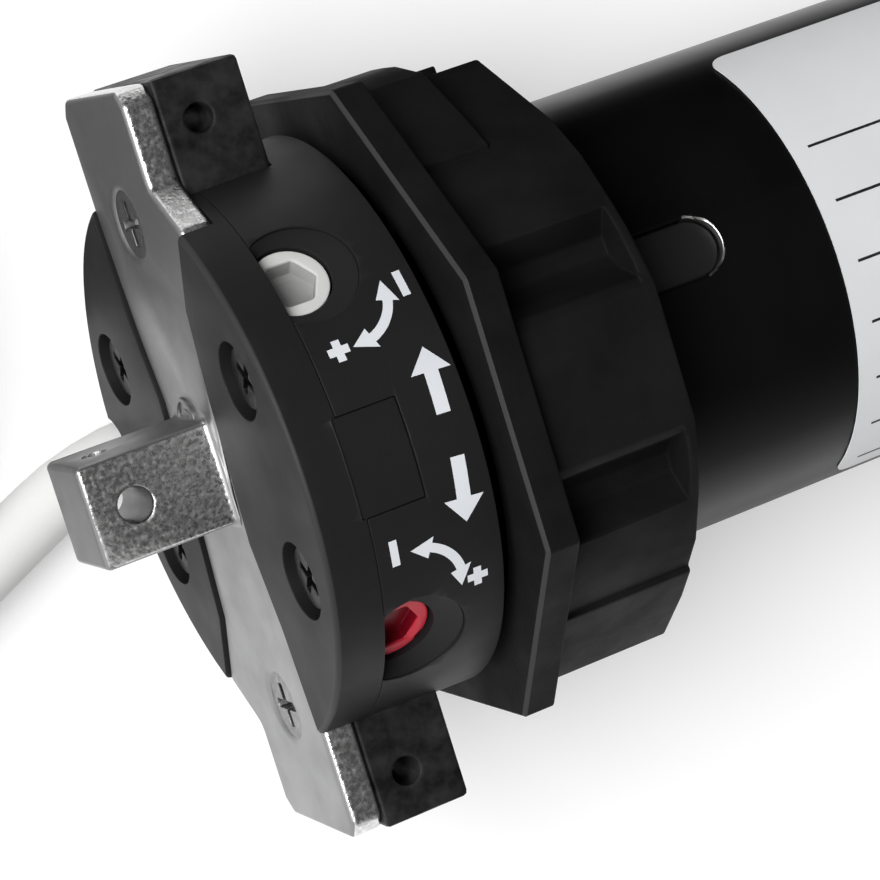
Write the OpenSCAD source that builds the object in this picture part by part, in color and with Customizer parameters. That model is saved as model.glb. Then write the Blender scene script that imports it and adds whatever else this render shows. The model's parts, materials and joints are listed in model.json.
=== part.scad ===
// Tubular motor for a roller blind or shutter, lying on a table.
// X runs along the tube from the bracket to the drive wheel, Y along the bracket arm, Z up.
// The origin is on the tube's axis, where the square pin leaves the bracket arm. Millimetres.

/* [Bracket] */
// Thickness of the metal arm
arm_t = 3.2; // [2.6:0.1:3.6]
// How far each end of the arm stands out past the head
arm_over = 9.2; // [7.5:0.1:12]
// Half the width of the arm's ends
arm_w = 9.3; // [8.6:0.1:10]
// Corner cut at the arm's ends
arm_corner = 1.5; // [0.5:0.1:3]
// Side of the square pin
pin_side = 10; // [8:0.1:12]
// Length of the square pin
pin_len = 13.4; // [11:0.1:20]
// Diameter of the cross hole in the pin
pin_hole_d = 3.3; // [2:0.1:4.5]
// Distance of the cross hole from the pin's root
pin_hole_x = 8.9; // [6:0.1:9.5]
// Distance of each arm screw inside the head's edge
arm_screw_in = 3.2; // [2.7:0.1:3.7]
// Shank diameter of an arm screw
arm_screw_d = 4; // [3:0.1:4.4]
// Head diameter of an arm screw
arm_screw_head_d = 7.2; // [6:0.1:8]
// Length of an arm screw
arm_screw_len = 11; // [8:0.5:11.5]
// Depth of a lug along the axis
lug_depth = 8.7; // [8:0.1:9.4]
// How far a lug reaches inside the head's edge
lug_reach = 6.2; // [5.8:0.1:6.8]
// Distance of a lug's cross hole outside the head's edge
lug_hole_out = 4.7; // [3:0.1:6]
// Distance of a lug's cross hole behind the arm's front
lug_hole_x = 6.7; // [6:0.1:8]
// Diameter of a lug's cross hole
lug_hole_d = 2.6; // [2:0.1:4]

/* [Head] */
// How far the head's face stands out past the tube
head_over = 4.6; // [4.2:0.1:5.2]
// How much wider the head is at its back
head_draft = 0.3; // [0.1:0.1:0.8]
// How far the face stands in front of the arm
face_proud = 0.4; // [0:0.1:0.8]
// Where the face cover ends and the housing begins
cover_len = 4.45; // [4.3:0.05:4.8]
// Where the head ends
head_len = 16.5; // [16.1:0.1:17.5]
// Wall of the housing
housing_wall = 2.75; // [2.6:0.05:2.9]
// Half the width of the cover's tongue
tongue_w = 4.65; // [3:0.05:6]
// Where the cover's tongue ends
tongue_len = 10.2; // [8:0.1:12]
// Distance of a face screw inside the head's edge
face_screw_in = 6.35; // [6:0.05:6.7]
// Angle of a face screw from the top or the bottom
face_screw_ang = 26.9; // [26:0.1:28]
// Shank diameter of a face screw
face_screw_d = 3; // [2.5:0.1:3.2]
// Head diameter of a face screw
face_screw_head_d = 6; // [5:0.1:6.2]
// Diameter of a face screw's recess
face_recess_d = 7.4; // [6.4:0.1:7.6]
// Depth of a face screw's head below the arm's front
face_screw_sink = 0.4; // [0.2:0.1:1.4]
// Head height of a face screw
face_screw_head = 2; // [1.6:0.1:2.2]
// Where a face screw ends
face_screw_end = 14; // [11:0.5:14.5]

/* [Adjusters] */
// Distance of the adjusters behind the arm's front
adj_x = 6.4; // [6:0.1:7]
// Angle of the white adjuster from the top, towards +Y
white_ang = 38.6; // [37:0.1:42]
// Angle of the red adjuster from the top, towards -Y
red_ang = 41; // [37:0.1:42]
// Radius of an adjuster's cup
adj_r = 3.6; // [3:0.1:3.8]
// Depth of the step that a cup stands on
adj_seat_deep = 3.9; // [3.5:0.1:4]
// Depth of the white adjuster's top
white_deep = 1.1; // [0.9:0.1:1.6]
// Depth of the red adjuster's top
red_deep = 2.1; // [1.5:0.1:2.4]
// Radius of an adjuster's stem
adj_stem_r = 1.8; // [1.2:0.1:1.9]
// Across the flats of the hexagon socket
adj_hex = 4.5; // [3:0.1:5]
// Depth of the hexagon socket
adj_hex_deep = 2; // [1:0.1:2.4]
// Radius of the pocket round a cup
pocket_r = 5.2; // [4.7:0.1:5.5]
// How far the pocket's middle lies behind the cup's
pocket_back = 0.9; // [0:0.1:1.2]

/* [Crown] */
// How far the flats of the octagon flange stand out past the tube
flange_over = 8.05; // [7.8:0.05:9.5]
// Thickness of the flange
flange_t = 3.4; // [3.2:0.1:4]
// Gap between the head and the flange
crown_gap = 1.6; // [1.2:0.1:2]
// Length of the crown behind the flange
crown_body = 14.6; // [13:0.1:18]
// How far the crown's top block and the drive wheel stay under the flange's flats
flat_drop = 1.25; // [0.6:0.05:1.6]
// Half the width of the top block
block_y = 6.4; // [5.5:0.1:7]
// Length of the crown's short side block, towards +Y
side_block_len = 7.5; // [4:0.1:12]
// Thickness of the walls that close the valleys
valley_wall = 1.1; // [0.8:0.1:2]
// How far the tips of the crown's teeth stand off the neck
crown_tip_gap = 0.77; // [0.6:0.01:0.9]
// Teeth inside the crown
crown_teeth = 60; // [58:1:72]

/* [Tube] */
// Outer radius of the tube
tube_r = 22.5; // [22.4:0.05:22.6]
// Wall of the tube
tube_wall = 1.45; // [1.2:0.05:1.5]
// How far the tube begins behind the crown's snap ring
tube_back = 3; // [2:0.5:4]
// Length of the end cap inside the tube
end_cap_len = 38; // [36:1:45]
// Width of the slot that holds the key
slot_w = 5.8; // [5:0.1:7]
// Where the slot ends
slot_end = 47.3; // [42:0.1:52]
// Angle of the slot from the top
slot_ang = 18.2; // [15:0.1:20]
// Depth of the key's top in the slot
key_drop = 1; // [0.2:0.1:1.2]
// Where the label begins
label_start = 57.8; // [52:0.1:70]
// Length of the label
label_len = 110; // [60:1:160]
// Angle of the label's edge towards +Y
label_ang_a = 70.7; // [40:0.1:90]
// Angle of the label's edge towards -Y
label_ang_b = 65.7; // [40:0.1:90]
// Thickness of the label
label_t = 0.15; // [0.1:0.01:0.3]

/* [Limit unit] */
// Where the limit unit's sleeve ends inside the tube
sleeve_end = 60; // [54:1:70]
// Teeth of a limit spindle's gear
spindle_teeth = 24; // [18:1:25]
// Angle of each limit spindle from the top
spindle_ang = 50; // [49:0.5:52]
// Radius of a spindle's journals
spindle_journal_r = 1.5; // [1:0.1:1.8]
// Radius of a spindle's thread
spindle_thread_r = 2.5; // [2:0.1:2.8]
// Half the length of a nut
nut_half = 4; // [3:0.5:4.5]
// Half the width of a nut
nut_w = 4; // [3.5:0.1:4]
// Travel of a nut to each side
nut_travel = 18; // [12:0.5:18]
// Room between a switch and the frame's front plate
switch_front_gap = 8; // [7:0.5:10]
// Room between a switch and the frame's rear plate
switch_rear_gap = 7; // [6:0.5:9]
// Width of a switch
switch_w = 6; // [5:0.1:6.4]
// Length of a switch
switch_len = 12; // [10:0.5:14]
// Height of a switch
switch_h = 7; // [6:0.1:8]
// Width of the terminal block
terminal_w = 18; // [16:0.5:22]
// Height of the terminal block
terminal_h = 12; // [8:0.5:16]
// Thickness of the terminal block
terminal_t = 4.5; // [3.5:0.5:8]
// Distance from terminal to terminal
terminal_step = 4; // [3.5:0.1:4.5]

/* [Capacitor] */
// Length of the capacitor
cap_len = 75; // [60:1:90]
// Room for wires between the capacitor and the tube
cap_room = 4.5; // [4:0.1:6]
// Distance between the capacitor's two pins
cap_pin_gap = 10; // [6:0.5:14]
// Length of the capacitor's pins
cap_pin_len = 4; // [2:0.5:6]
// Radius of a motor wire
wire_r = 0.9; // [0.6:0.05:1.1]

/* [Motor] */
// Thickness of a shield
shield_t = 7; // [6:0.1:8]
// Length of the end windings
winding_len = 9; // [6:0.5:9.5]
// Length of the stator stack
stator_len = 90; // [60:1:120]
// Thickness of the stator's ring
stator_wall = 8.2; // [7:0.1:9]
// Air gap between the rotor and the stator
air_gap = 0.4; // [0.3:0.05:0.8]
// Radius of the rotor's shaft
shaft_r = 4; // [3.5:0.1:4.5]
// Outer radius of a rotor bearing
bearing_r = 9.5; // [8:0.1:10.5]
// Thickness of the brake disc
brake_t = 4; // [3:0.1:5]
// Room between the brake disc and the tube
brake_room = 7; // [5:0.1:9]
// Length of the brake's spring
brake_spring_len = 6.2; // [5:0.1:8]

/* [Gearbox] */
// Least wall of the toothed tube, behind its teeth
ring_wall = 2.722; // [2:0.001:3.4]
// Teeth of a sun gear
sun_teeth = 12; // [12:1:15]
// Teeth of a planet gear
planet_teeth = 21; // [18:1:24]
// Width of the gears of each stage, first to last
stage_w = [8, 12, 18]; // [6:1:18]
// Thickness of the carriers, first to last
carrier_t = [3, 4, 7]; // [3:1:8]
// Radius of the planets' pins
planet_pin_r = 1.95; // [1.5:0.05:2.2]
// Room between a carrier and the toothed tube's teeth
carrier_room = 2.2; // [1.4:0.1:3]

/* [Output] */
// Radius of the output shaft
output_r = 6; // [5.5:0.1:6.5]
// Across the flats of the output shaft's end
output_af = 10; // [9:0.1:11]
// Length of the drive wheel
wheel_len = 22; // [18:0.5:30]
// Wall and ribs of the drive wheel
wheel_wall = 2.6; // [2:0.1:4]
// Thickness of the end cap's lip
cap_lip = 2.5; // [1.5:0.1:4]

/* [Cable] */
// Diameter of the cable
cable_d = 7; // [6:0.1:7]
// Width of the cable's plug
gland_w = 13; // [10:0.1:16]
// Turns of the coil's lower layer
coil_turns = 3; // [2:1:3]
// Radius of the coil's outer turn
coil_r = 51.5; // [50:0.5:52]
// Step from turn to turn and from layer to layer
coil_step = 7.5; // [7.5:0.05:7.7]
// Thickness of the coil's ties
tie_t = 0.8; // [0.6:0.1:1]
// Width of the coil's ties
tie_w = 9; // [5:0.5:14]
// Diameter of a bare core
core_d = 2; // [1.5:0.1:2.4]
// Length of the bare cores
core_len = 20; // [10:1:40]

/* [Hidden] */
$fn = 96;

// Location fit between fixed pieces, running fit, and air between pieces that pass each other
fit = 0.05;
run = 0.05;
air = 0.3;
eps = 1;

// Teeth, in shares of the module
addendum = 0.85;
dedendum = 1.12;
backlash = 0.22;
pressure = 20;

// Head and bracket, from the tube outwards
face_r = tube_r + head_over;
back_r = face_r + head_draft;
face_screw_r = face_r - face_screw_in;
adj_seat = face_r - adj_seat_deep;
white_top = face_r - white_deep;
red_top = face_r - red_deep;
arm_end = face_r + arm_over;
arm_screw_y = face_r - arm_screw_in;
lug_in = face_r - lug_reach;
lug_hole_y = face_r + lug_hole_out;

// Head, from outside to inside
housing_in = face_r - housing_wall + 0.2;
block_r = housing_in - fit;
journal_r = tube_r + fit;
lip_x = head_len - 1.5;
lug_back = arm_t + lug_depth;
head_cavity_r = 11;
head_cavity_x = adj_x + adj_stem_r + 0.4;

// Crown
flange_x = head_len + crown_gap;
body_x = flange_x + flange_t;
crown_end = body_x + crown_body;
flange_af = 2 * (tube_r + flange_over);
block_z = flange_af / 2 - flat_drop;
crown_module = (journal_r + crown_tip_gap) / (crown_teeth / 2 - addendum);
crown_pitch_r = crown_module * crown_teeth / 2;
spindle_pitch_r = crown_module * spindle_teeth / 2;
spindle_at = crown_pitch_r - spindle_pitch_r;
snap_x = body_x + 2.5;
snap_w = 1;
snap_r = journal_r + 0.3;
tube_start = snap_x + tube_back;

// Limit unit
tube_in = tube_r - tube_wall;
insert_r = tube_in - fit;
sleeve_in = insert_r - 1.6;
neck_in = journal_r - 4.15;
plate_front = tube_start - 4;
plate_t = 3;
rear_plate_t = 3.5;
spindle_front = head_len - 6;
gear_x0 = flange_x + 0.2;
gear_x1 = body_x - 0.2;
nut_low = spindle_at - nut_w;
nut_high = sleeve_in - 1;
lever_t = 0.8;
lever_gap = 1;
lever_back = 2;
lever_reach = nut_travel + nut_half + lever_gap;
nut_mid = plate_front + plate_t + switch_front_gap + lever_back + lever_reach;
limit_rear = nut_mid + lever_reach + lever_back + switch_rear_gap;
spindle_end = limit_rear + rear_plate_t - 0.5;

// The spine stands between the nuts, and each switch between the spine, its spindle and the sleeve
spine_w = nut_low * sin(spindle_ang) - nut_w * cos(spindle_ang) - 0.4;
spine_top = 12;
spine_low = 1.4 - neck_in;
switch_out = spine_w + switch_w;
switch_low = -sqrt(pow(sleeve_in - 1.6, 2) - pow(switch_out, 2));
lever_top = spindle_at * cos(spindle_ang) - spindle_thread_r - 1.75;

// Capacitor and wires
cap_r = insert_r - cap_room;
wire_at = cap_r + 2.6;
wire_angles = [150, 170, 190, 210];
wire_start = limit_rear + rear_plate_t;
cap_start = wire_start + terminal_t + 1;
cap_end = cap_start + cap_len;

// Motor
shield_start = cap_end + cap_pin_len + 4;
stator_bore = insert_r - stator_wall;
stator_x0 = shield_start + shield_t + winding_len;
stator_x1 = stator_x0 + stator_len;
rear_x0 = stator_x1 + winding_len;
rear_x1 = rear_x0 + shield_t;
rotor_r = stator_bore - air_gap;
bearing_w = shield_t - 2;
brake_x0 = rear_x1 + 2;
pad_x0 = brake_x0 + brake_t + air;
pad_t = 2;
plate_x0 = pad_x0 + pad_t;
plate_x1 = plate_x0 + 4.5;
shaft_end_r = 1.55;
brake_r = insert_r - brake_room;

// Gearbox: the ring has a space at angle 0. The places where a planet meshes with the sun and the ring
// at once lie evenly round, and the planets take three of them.
ring_teeth = sun_teeth + 2 * planet_teeth;
planet_places = sun_teeth + ring_teeth;
planet_angles = [for (k = [0 : 2]) round(k * planet_places / 3) * 360 / planet_places];
sun_phase = planet_teeth % 2 == 1 ? 0 : 180 / sun_teeth;
gear_start = plate_x1 + brake_spring_len;
gear_module = (insert_r - ring_wall) / (ring_teeth / 2 + dedendum);
carrier_r = gear_module * (ring_teeth / 2 - addendum) - carrier_room;
planet_at = gear_module * (sun_teeth + planet_teeth) / 2;
end_wall = 2;
stage_gap = 0.6;
stage_1 = gear_start + end_wall + 0.4;
plate_1 = stage_1 + stage_w[0] + stage_gap;
stage_2 = plate_1 + carrier_t[0] + stage_gap;
plate_2 = stage_2 + stage_w[1] + stage_gap;
stage_3 = plate_2 + carrier_t[1] + stage_gap;
plate_3 = stage_3 + stage_w[2] + stage_gap;
ring_end = plate_3 + carrier_t[2] + stage_gap;
sun_bore = shaft_end_r + fit;

// Output
tube_end = ring_end + end_cap_len;
tube_screw_r = 1.5;
tube_screw_deep = insert_r - 4.5;
tube_screw_back = 10;
bush_r = output_r + 3;
bush_x0 = tube_end - 25;
wheel_x0 = tube_end + cap_lip + 1;
wheel_x1 = wheel_x0 + wheel_len;
wheel_af = flange_af - 2 * flat_drop;
wheel_hub_r = 11;
washer_t = 1.2;
washer_r = 9;
wheel_screw_r = 2.4;
wheel_screw_head_r = 4.5;
wheel_screw_head = 3;
wheel_screw_deep = 14;

// Cable: it lies on the table that the crown's flange stands on, leaves the view and ends in a coil
table_z = -flange_af / 2;
cable_r = cable_d / 2;
cable_z = table_z + cable_r + fit;
plug_x0 = cover_len + 0.05;
plug_x1 = lip_x - 0.3;
plug_top = 5.6 - face_r;
cable_x0 = 9;
coil_z = table_z + fit + tie_t + 0.2 + cable_r;
run_points = [[9, 0], [5.5, 0], [2, 0], [-1, -0.2], [-4, -0.7], [-7, -1.5], [-10, -2.7], [-15, -4.95],
    [-20, -7.2], [-25, -9.45], [-30, -11.7]];
run_climb = 5;
coil_at = [-68, 27.8];
coil_start = -66;
coil_rings = 24;
coil_sides = 6;
run_sides = 10;
coil_out = coil_turns - 0.5;
tie_angles = [40, 220];
core_offsets = [[1, 1], [-1, 1], [-1, -1], [1, -1]];
ferrule_len = 8;
ferrule_d = core_d - 0.5;

function pol(r, a) = [r * sin(a), r * cos(a)];
function turn(r, a) = [r * cos(a), r * sin(a)];

// Straight rods, rings and prisms along X
module rod(x0, x1, r) {
    translate([x0, 0, 0]) rotate([0, 90, 0]) cylinder(h = x1 - x0, r = r);
}

module cone_rod(x0, x1, r0, r1) {
    translate([x0, 0, 0]) rotate([0, 90, 0]) cylinder(h = x1 - x0, r1 = r0, r2 = r1);
}

module ring(x0, x1, r_out, r_in) {
    difference() {
        rod(x0, x1, r_out);
        rod(x0 - eps, x1 + eps, r_in);
    }
}

module prism(x0, x1) {
    translate([x0, 0, 0]) rotate([90, 0, 90]) linear_extrude(x1 - x0) children();
}

// A frame whose +Z points away from the axis, at an angle from the top towards +Y
module radial(x, ang) {
    translate([x, 0, 0]) rotate([-ang, 0, 0]) children();
}

module octagon(af) {
    rotate(22.5) circle(r = af / 2 / cos(22.5), $fn = 8);
}

module slot_box(x0, x1, y0, y1, z0, z1) {
    translate([x0, y0, z0]) cube([x1 - x0, y1 - y0, z1 - z0]);
}

// Gear outlines with straight flanks; thin is half the backlash, negative for the space in a ring
function tooth_half(m, n, r, thin) =
    (PI * m / 4 - thin - (r - m * n / 2) * tan(pressure)) / r * 180 / PI;

function gear_points(m, n, r_in, r_out, thin, phase) = [
    for (i = [0 : n - 1])
        let (a = phase + 360 * i / n,
            h_in = tooth_half(m, n, r_in, thin),
            h_out = tooth_half(m, n, r_out, thin))
        each [turn(r_in, a - h_in), turn(r_out, a - h_out), turn(r_out, a + h_out), turn(r_in, a + h_in)]
];

module gear_2d(m, n, phase) {
    pitch_r = m * n / 2;
    polygon(gear_points(m, n, pitch_r - dedendum * m, pitch_r + addendum * m, backlash / 2, phase));
}

module ring_space_2d(m, n) {
    pitch_r = m * n / 2;
    polygon(gear_points(m, n, pitch_r - addendum * m, pitch_r + dedendum * m, -backlash / 2, 0));
}

// Bracket: one edge of the arm, from the +Y end to the -Y end, then the same edge turned half round
flare_root = face_r - 0.1;
flare_tip = pol(face_r + 0.06, 57.48);
shoulder = [15.9, 10.2];
waist = [[7.7, 8.6], [-6.8, 6.8], [-15, 8.4]];
narrow_y = 1.3 - face_r;

function arm_edge(c) = [
    [arm_end + c, arm_w - arm_corner], [arm_end - arm_corner, arm_w + c], [flare_root, arm_w + c],
    flare_tip + [c, c], shoulder + [0, c], for (p = waist) p + [0, c],
    [narrow_y, arm_w + c], [-arm_end + arm_corner, arm_w + c], [-arm_end - c, arm_w - arm_corner]
];

function arm_outline(c) = concat(arm_edge(c), [for (p = arm_edge(c)) -p]);

module arm_screw_places() {
    for (s = [-1, 1])
        translate([0, s * arm_screw_y, 0]) children();
}

module bracket_arm() {
    head_r = arm_screw_head_d / 2;
    shank_r = arm_screw_d / 2;
    color("silver") difference() {
        union() {
            prism(0, arm_t) polygon(arm_outline(0));
            slot_box(-pin_len, 0.01, -pin_side / 2, pin_side / 2, -pin_side / 2, pin_side / 2);
        }
        translate([-pin_hole_x, 0, -pin_side]) cylinder(h = 2 * pin_side, r = pin_hole_d / 2);
        arm_screw_places() {
            rod(-eps, arm_t + eps, shank_r + fit);
            cone_rod(-0.01, head_r - shank_r, head_r + fit, shank_r + fit);
        }
    }
}

module arm_screws() {
    head_r = arm_screw_head_d / 2;
    shank_r = arm_screw_d / 2;
    color("silver") arm_screw_places() difference() {
        union() {
            cone_rod(0, head_r - shank_r, head_r, shank_r);
            rod(head_r - shank_r - 0.01, arm_screw_len, shank_r);
        }
        for (a = [0, 90])
            rotate([a, 0, 0]) slot_box(-eps, 1.2, -2.2, 2.2, -0.45, 0.45);
    }
}

module lug_space(c) {
    for (s = [0, 180])
        rotate([s, 0, 0]) slot_box(arm_t - c, lug_back + c, lug_in - c, arm_end + 3, -arm_w - c, arm_w + c);
}

module lug_blocks() {
    color("dimgray") difference() {
        for (s = [0, 180])
            rotate([s, 0, 0]) slot_box(arm_t, lug_back, lug_in, arm_end, -arm_w, arm_w);
        for (s = [-1, 1])
            translate([lug_hole_x, s * lug_hole_y, -arm_w - eps])
                cylinder(h = 2 * arm_w + 2 * eps, r = lug_hole_d / 2);
        arm_screw_places() rod(arm_t - eps, lug_back + eps, arm_screw_d / 2 + fit);
    }
}

// Head
module face_screw_places() {
    for (a = [face_screw_ang, 180 - face_screw_ang, 180 + face_screw_ang, 360 - face_screw_ang])
        translate([0, pol(face_screw_r, a)[0], pol(face_screw_r, a)[1]]) children();
}

module adjuster_places() {
    radial(adj_x, white_ang) children(0);
    radial(adj_x, -red_ang) children(1);
}

module adjuster_pocket() {
    translate([pocket_back, 0, 0]) cylinder(h = back_r + eps, r = pocket_r);
}

module adjuster_seat() {
    translate([0, 0, head_cavity_r + 0.2]) cylinder(h = block_r, r = adj_stem_r + run);
    translate([0, 0, adj_seat]) cylinder(h = block_r, r = adj_r + air);
}

module cable_notch(x0, x1) {
    notch_r = cable_r + 0.5;
    translate([0, 0, cable_z]) rod(x0, x1, notch_r);
    slot_box(x0, x1, -notch_r, notch_r, -face_r - 9, cable_z);
}

module tongue(x0, x1, w, r_out, r_in) {
    intersection() {
        ring(x0, x1, r_out, r_in);
        slot_box(x0 - eps, x1 + eps, -w, w, 0, 2 * face_r);
    }
}

module face_cover() {
    color("#2b2c2e") difference() {
        union() {
            cone_rod(-face_proud, cover_len, face_r, face_r + 0.1);
            tongue(cover_len - 0.5, tongue_len, tongue_w, face_r + 0.1, housing_in + 0.4);
        }
        prism(-face_proud - eps, arm_t + fit) polygon(arm_outline(fit));
        lug_space(fit);
        face_screw_places() {
            rod(-face_proud - eps, face_screw_sink + face_screw_head + fit, face_recess_d / 2);
            rod(0, cover_len + eps, face_screw_d / 2 + fit);
        }
        adjuster_places() {
            cylinder(h = white_top + air, r = adj_r + air);
            cylinder(h = red_top + air, r = adj_r + air);
        }
        cable_notch(-face_proud - eps, cover_len + eps);
        rod(cover_len, tongue_len + eps, housing_in + 0.35);
    }
}

module head_housing() {
    color("#2b2c2e") difference() {
        cone_rod(cover_len, head_len, face_r + 0.1, back_r);
        rod(cover_len - eps, lip_x, housing_in);
        rod(lip_x - eps, head_len + eps, journal_r + air);
        lug_space(fit);
        tongue(cover_len - eps, tongue_len + fit, tongue_w + fit, back_r + eps, housing_in - eps);
        adjuster_places() {
            adjuster_pocket();
            adjuster_pocket();
        }
        slot_box(cover_len - eps, plug_x1 + fit, -gland_w / 2 - fit, gland_w / 2 + fit, -2 * back_r, 0);
    }
}

module face_screws() {
    head_end = face_screw_sink + face_screw_head;
    color("#232425") face_screw_places() difference() {
        union() {
            rod(face_screw_sink, head_end, face_screw_head_d / 2);
            rod(head_end - 0.01, face_screw_end, face_screw_d / 2);
        }
        for (a = [45, 135])
            rotate([a, 0, 0]) slot_box(0, face_screw_sink + 1.1, -1.9, 1.9, -0.4, 0.4);
    }
}

module adjuster(top) {
    difference() {
        union() {
            translate([0, 0, adj_seat + fit]) cylinder(h = top - adj_seat - fit, r = adj_r);
            translate([0, 0, head_cavity_r + 0.5]) cylinder(h = adj_seat - head_cavity_r, r = adj_stem_r);
        }
        translate([0, 0, top - min(adj_hex_deep, top - adj_seat - 0.4)])
            cylinder(h = adj_hex_deep + eps, r = adj_hex / 2 / cos(30), $fn = 6);
    }
}

module adjuster_white() {
    color("white") radial(adj_x, white_ang) adjuster(white_top);
}

module adjuster_red() {
    color("crimson") radial(adj_x, -red_ang) adjuster(red_top);
}

// Limit unit: its front block fills the head, its neck carries the crown, its sleeve sits in the tube
module key_shape(c) {
    half = slot_w / 2 - c;
    radial(0, slot_ang) {
        translate([slot_end - slot_w / 2, 0, 0]) cylinder(h = 2 * tube_r, r = half);
        slot_box(tube_start - eps, slot_end - slot_w / 2, -half, half, 0, 2 * tube_r);
    }
}

module spindle_places() {
    for (s = [-1, 1])
        rotate([-s * spindle_ang, 0, 0]) translate([0, 0, spindle_at]) children();
}

module limit_sleeve() {
    color("#303133") difference() {
        union() {
            rod(cover_len + fit, lip_x - fit, block_r);
            rod(lip_x - eps, tube_start - fit, journal_r);
            rod(snap_x, snap_x + snap_w, snap_r);
            rod(tube_start - eps, sleeve_end, insert_r);
            intersection() {
                ring(tube_start + fit, slot_end, tube_r - key_drop, sleeve_in);
                key_shape(0.1);
            }
        }
        rod(lip_x, tube_start, neck_in);
        rod(tube_start - eps, sleeve_end + eps, sleeve_in);
        rod(head_cavity_x, lip_x + eps, head_cavity_r);
        lug_space(fit);
        face_screw_places() rod(cover_len - eps, face_screw_end + 0.5, face_screw_d / 2 + fit);
        adjuster_places() {
            adjuster_seat();
            adjuster_seat();
        }
        spindle_places() {
            rod(spindle_front - 0.5, lip_x + eps, spindle_journal_r + run);
            rod(gear_x0 - air, gear_x1 + air, spindle_pitch_r + crown_module * addendum + air);
        }
        slot_box(0, plug_x1 + fit, -gland_w / 2 - fit, gland_w / 2 + fit, -2 * back_r, plug_top + fit);
    }
}

module limit_frame() {
    color("lightgray") difference() {
        union() {
            rod(plate_front, plate_front + plate_t, neck_in - fit);
            rod(limit_rear, limit_rear + rear_plate_t, insert_r);
            slot_box(plate_front, limit_rear + 1, -spine_w, spine_w, spine_low, spine_top);
        }
        spindle_places() rod(plate_front - eps, limit_rear + 2 * rear_plate_t, spindle_journal_r + run);
    }
}

module limit_spindle(side) {
    phase = spindle_phase(side);
    at = turn(spindle_at, 90 - side * spindle_ang);
    translate([0, at[0], at[1]]) {
        rod(spindle_front, spindle_end, spindle_journal_r);
        prism(gear_x0, gear_x1) gear_2d(crown_module, spindle_teeth, phase);
        rod(plate_front + plate_t + air, limit_rear - air, spindle_thread_r);
    }
}

function spindle_phase(side) = (90 - side * spindle_ang) * (1 - crown_teeth / spindle_teeth);

module limit_spindle_up() {
    color("gold") limit_spindle(1);
}

module limit_spindle_down() {
    color("gold") limit_spindle(-1);
}

module limit_nut(side) {
    rotate([-side * spindle_ang, 0, 0]) difference() {
        slot_box(nut_mid - nut_half, nut_mid + nut_half, -nut_w, nut_w, nut_low, nut_high);
        translate([0, 0, spindle_at]) rod(0, limit_rear, spindle_thread_r + run);
    }
}

module limit_nut_up() {
    color("white") limit_nut(1);
}

module limit_nut_down() {
    color("crimson") limit_nut(-1);
}

// Each switch stands on one side of the spine, with a lever just past one end of its nut's travel
module limit_switch() {
    lever_x = nut_mid + lever_reach;
    back_x = lever_x + lever_back;
    switch_top = switch_low + switch_h;
    slot_box(lever_x, lever_x + lever_t, spine_w, switch_out, switch_top - 1, lever_top);
    slot_box(back_x - switch_len, back_x, spine_w, switch_out, switch_low, switch_top);
}

module limit_switches() {
    color("#3a3f52") {
        limit_switch();
        translate([2 * nut_mid, 0, 0]) rotate([0, 0, 180]) limit_switch();
    }
}

module terminal_block() {
    color("#d8d8d0") difference() {
        slot_box(wire_start, wire_start + terminal_t, -terminal_w / 2, terminal_w / 2,
            -terminal_h / 2, terminal_h / 2);
        for (i = [-1.5 : 1.5])
            translate([0, i * terminal_step, 0]) rod(wire_start + 1.5, cap_start, 1.2);
    }
}

// Crown: one quarter of its outline, seen along X, mirrored to the other three. Each corner has its
// distance from the tube and its angle from the top. A raised block stands on each side: the one towards
// +Y is short, the other one is as long as the crown.
crown_corners = [
    [7.02, 14.32], [4, 18.02], [3.09, 21.55], [3.53, 25.48], [6.5, 28.86], [6.3, 40],
    [5.9, 51.2], [6.6, 79.6], [4, 79.6], [3.5, 90]
];
side_corners = [[6.4, 49], [6.6, 58.4], [8, 73.2], [7.8, 84.3], [7.7, 90], [2, 90], [2, 49]];
crown_quarter = concat(
    [[0, block_z], [block_y, block_z]],
    [for (c = crown_corners) pol(tube_r + c[0], c[1])],
    [[0, 0]]
);
valley_corners = [[7.1, 17], [6.9, 23], [6.5, 28.86], [6.14, 31.58], [2.56, 28.61]];
valley_quarter = concat(
    [[block_y - 2, block_z - 4.3], [block_y - 2, block_z], [block_y, block_z]],
    [for (c = valley_corners) pol(tube_r + c[0], c[1])]
);

module four_quarters() {
    for (y = [0, 1])
        mirror([y, 0]) two_quarters() children();
}

module two_quarters() {
    for (z = [0, 1])
        mirror([0, z]) children();
}

module side_block() {
    two_quarters() polygon([for (c = side_corners) pol(tube_r + c[0], c[1])]);
}

module crown_ring() {
    color("#26272a") difference() {
        union() {
            prism(flange_x, body_x) octagon(flange_af);
            prism(body_x - 0.01, crown_end) four_quarters() polygon(crown_quarter);
            prism(crown_end - valley_wall, crown_end) four_quarters() polygon(valley_quarter);
            prism(body_x - 0.01, body_x + side_block_len) side_block();
            prism(body_x - 0.01, crown_end) mirror([1, 0]) side_block();
        }
        prism(flange_x - eps, body_x) ring_space_2d(crown_module, crown_teeth);
        rod(body_x - eps, tube_start + air, journal_r + run);
        rod(snap_x - air, snap_x + snap_w + air, snap_r + air);
        rod(tube_start, crown_end + eps, tube_r + air);
    }
}

// Tube and label
module motor_tube() {
    color("#1b1c1e") difference() {
        rod(tube_start, tube_end, tube_r);
        rod(tube_start - eps, tube_end + eps, tube_in);
        key_shape(0);
        tube_screw_places() cylinder(h = tube_r, r = tube_screw_r + fit);
    }
}

module rating_label() {
    label_in = tube_r + fit;
    color("gainsboro") translate([label_start, 0, 0]) rotate([0, 90, 0]) rotate(180 - label_ang_a)
        rotate_extrude(angle = label_ang_a + label_ang_b)
            translate([label_in, 0]) square([label_t, label_len]);
}

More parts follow.
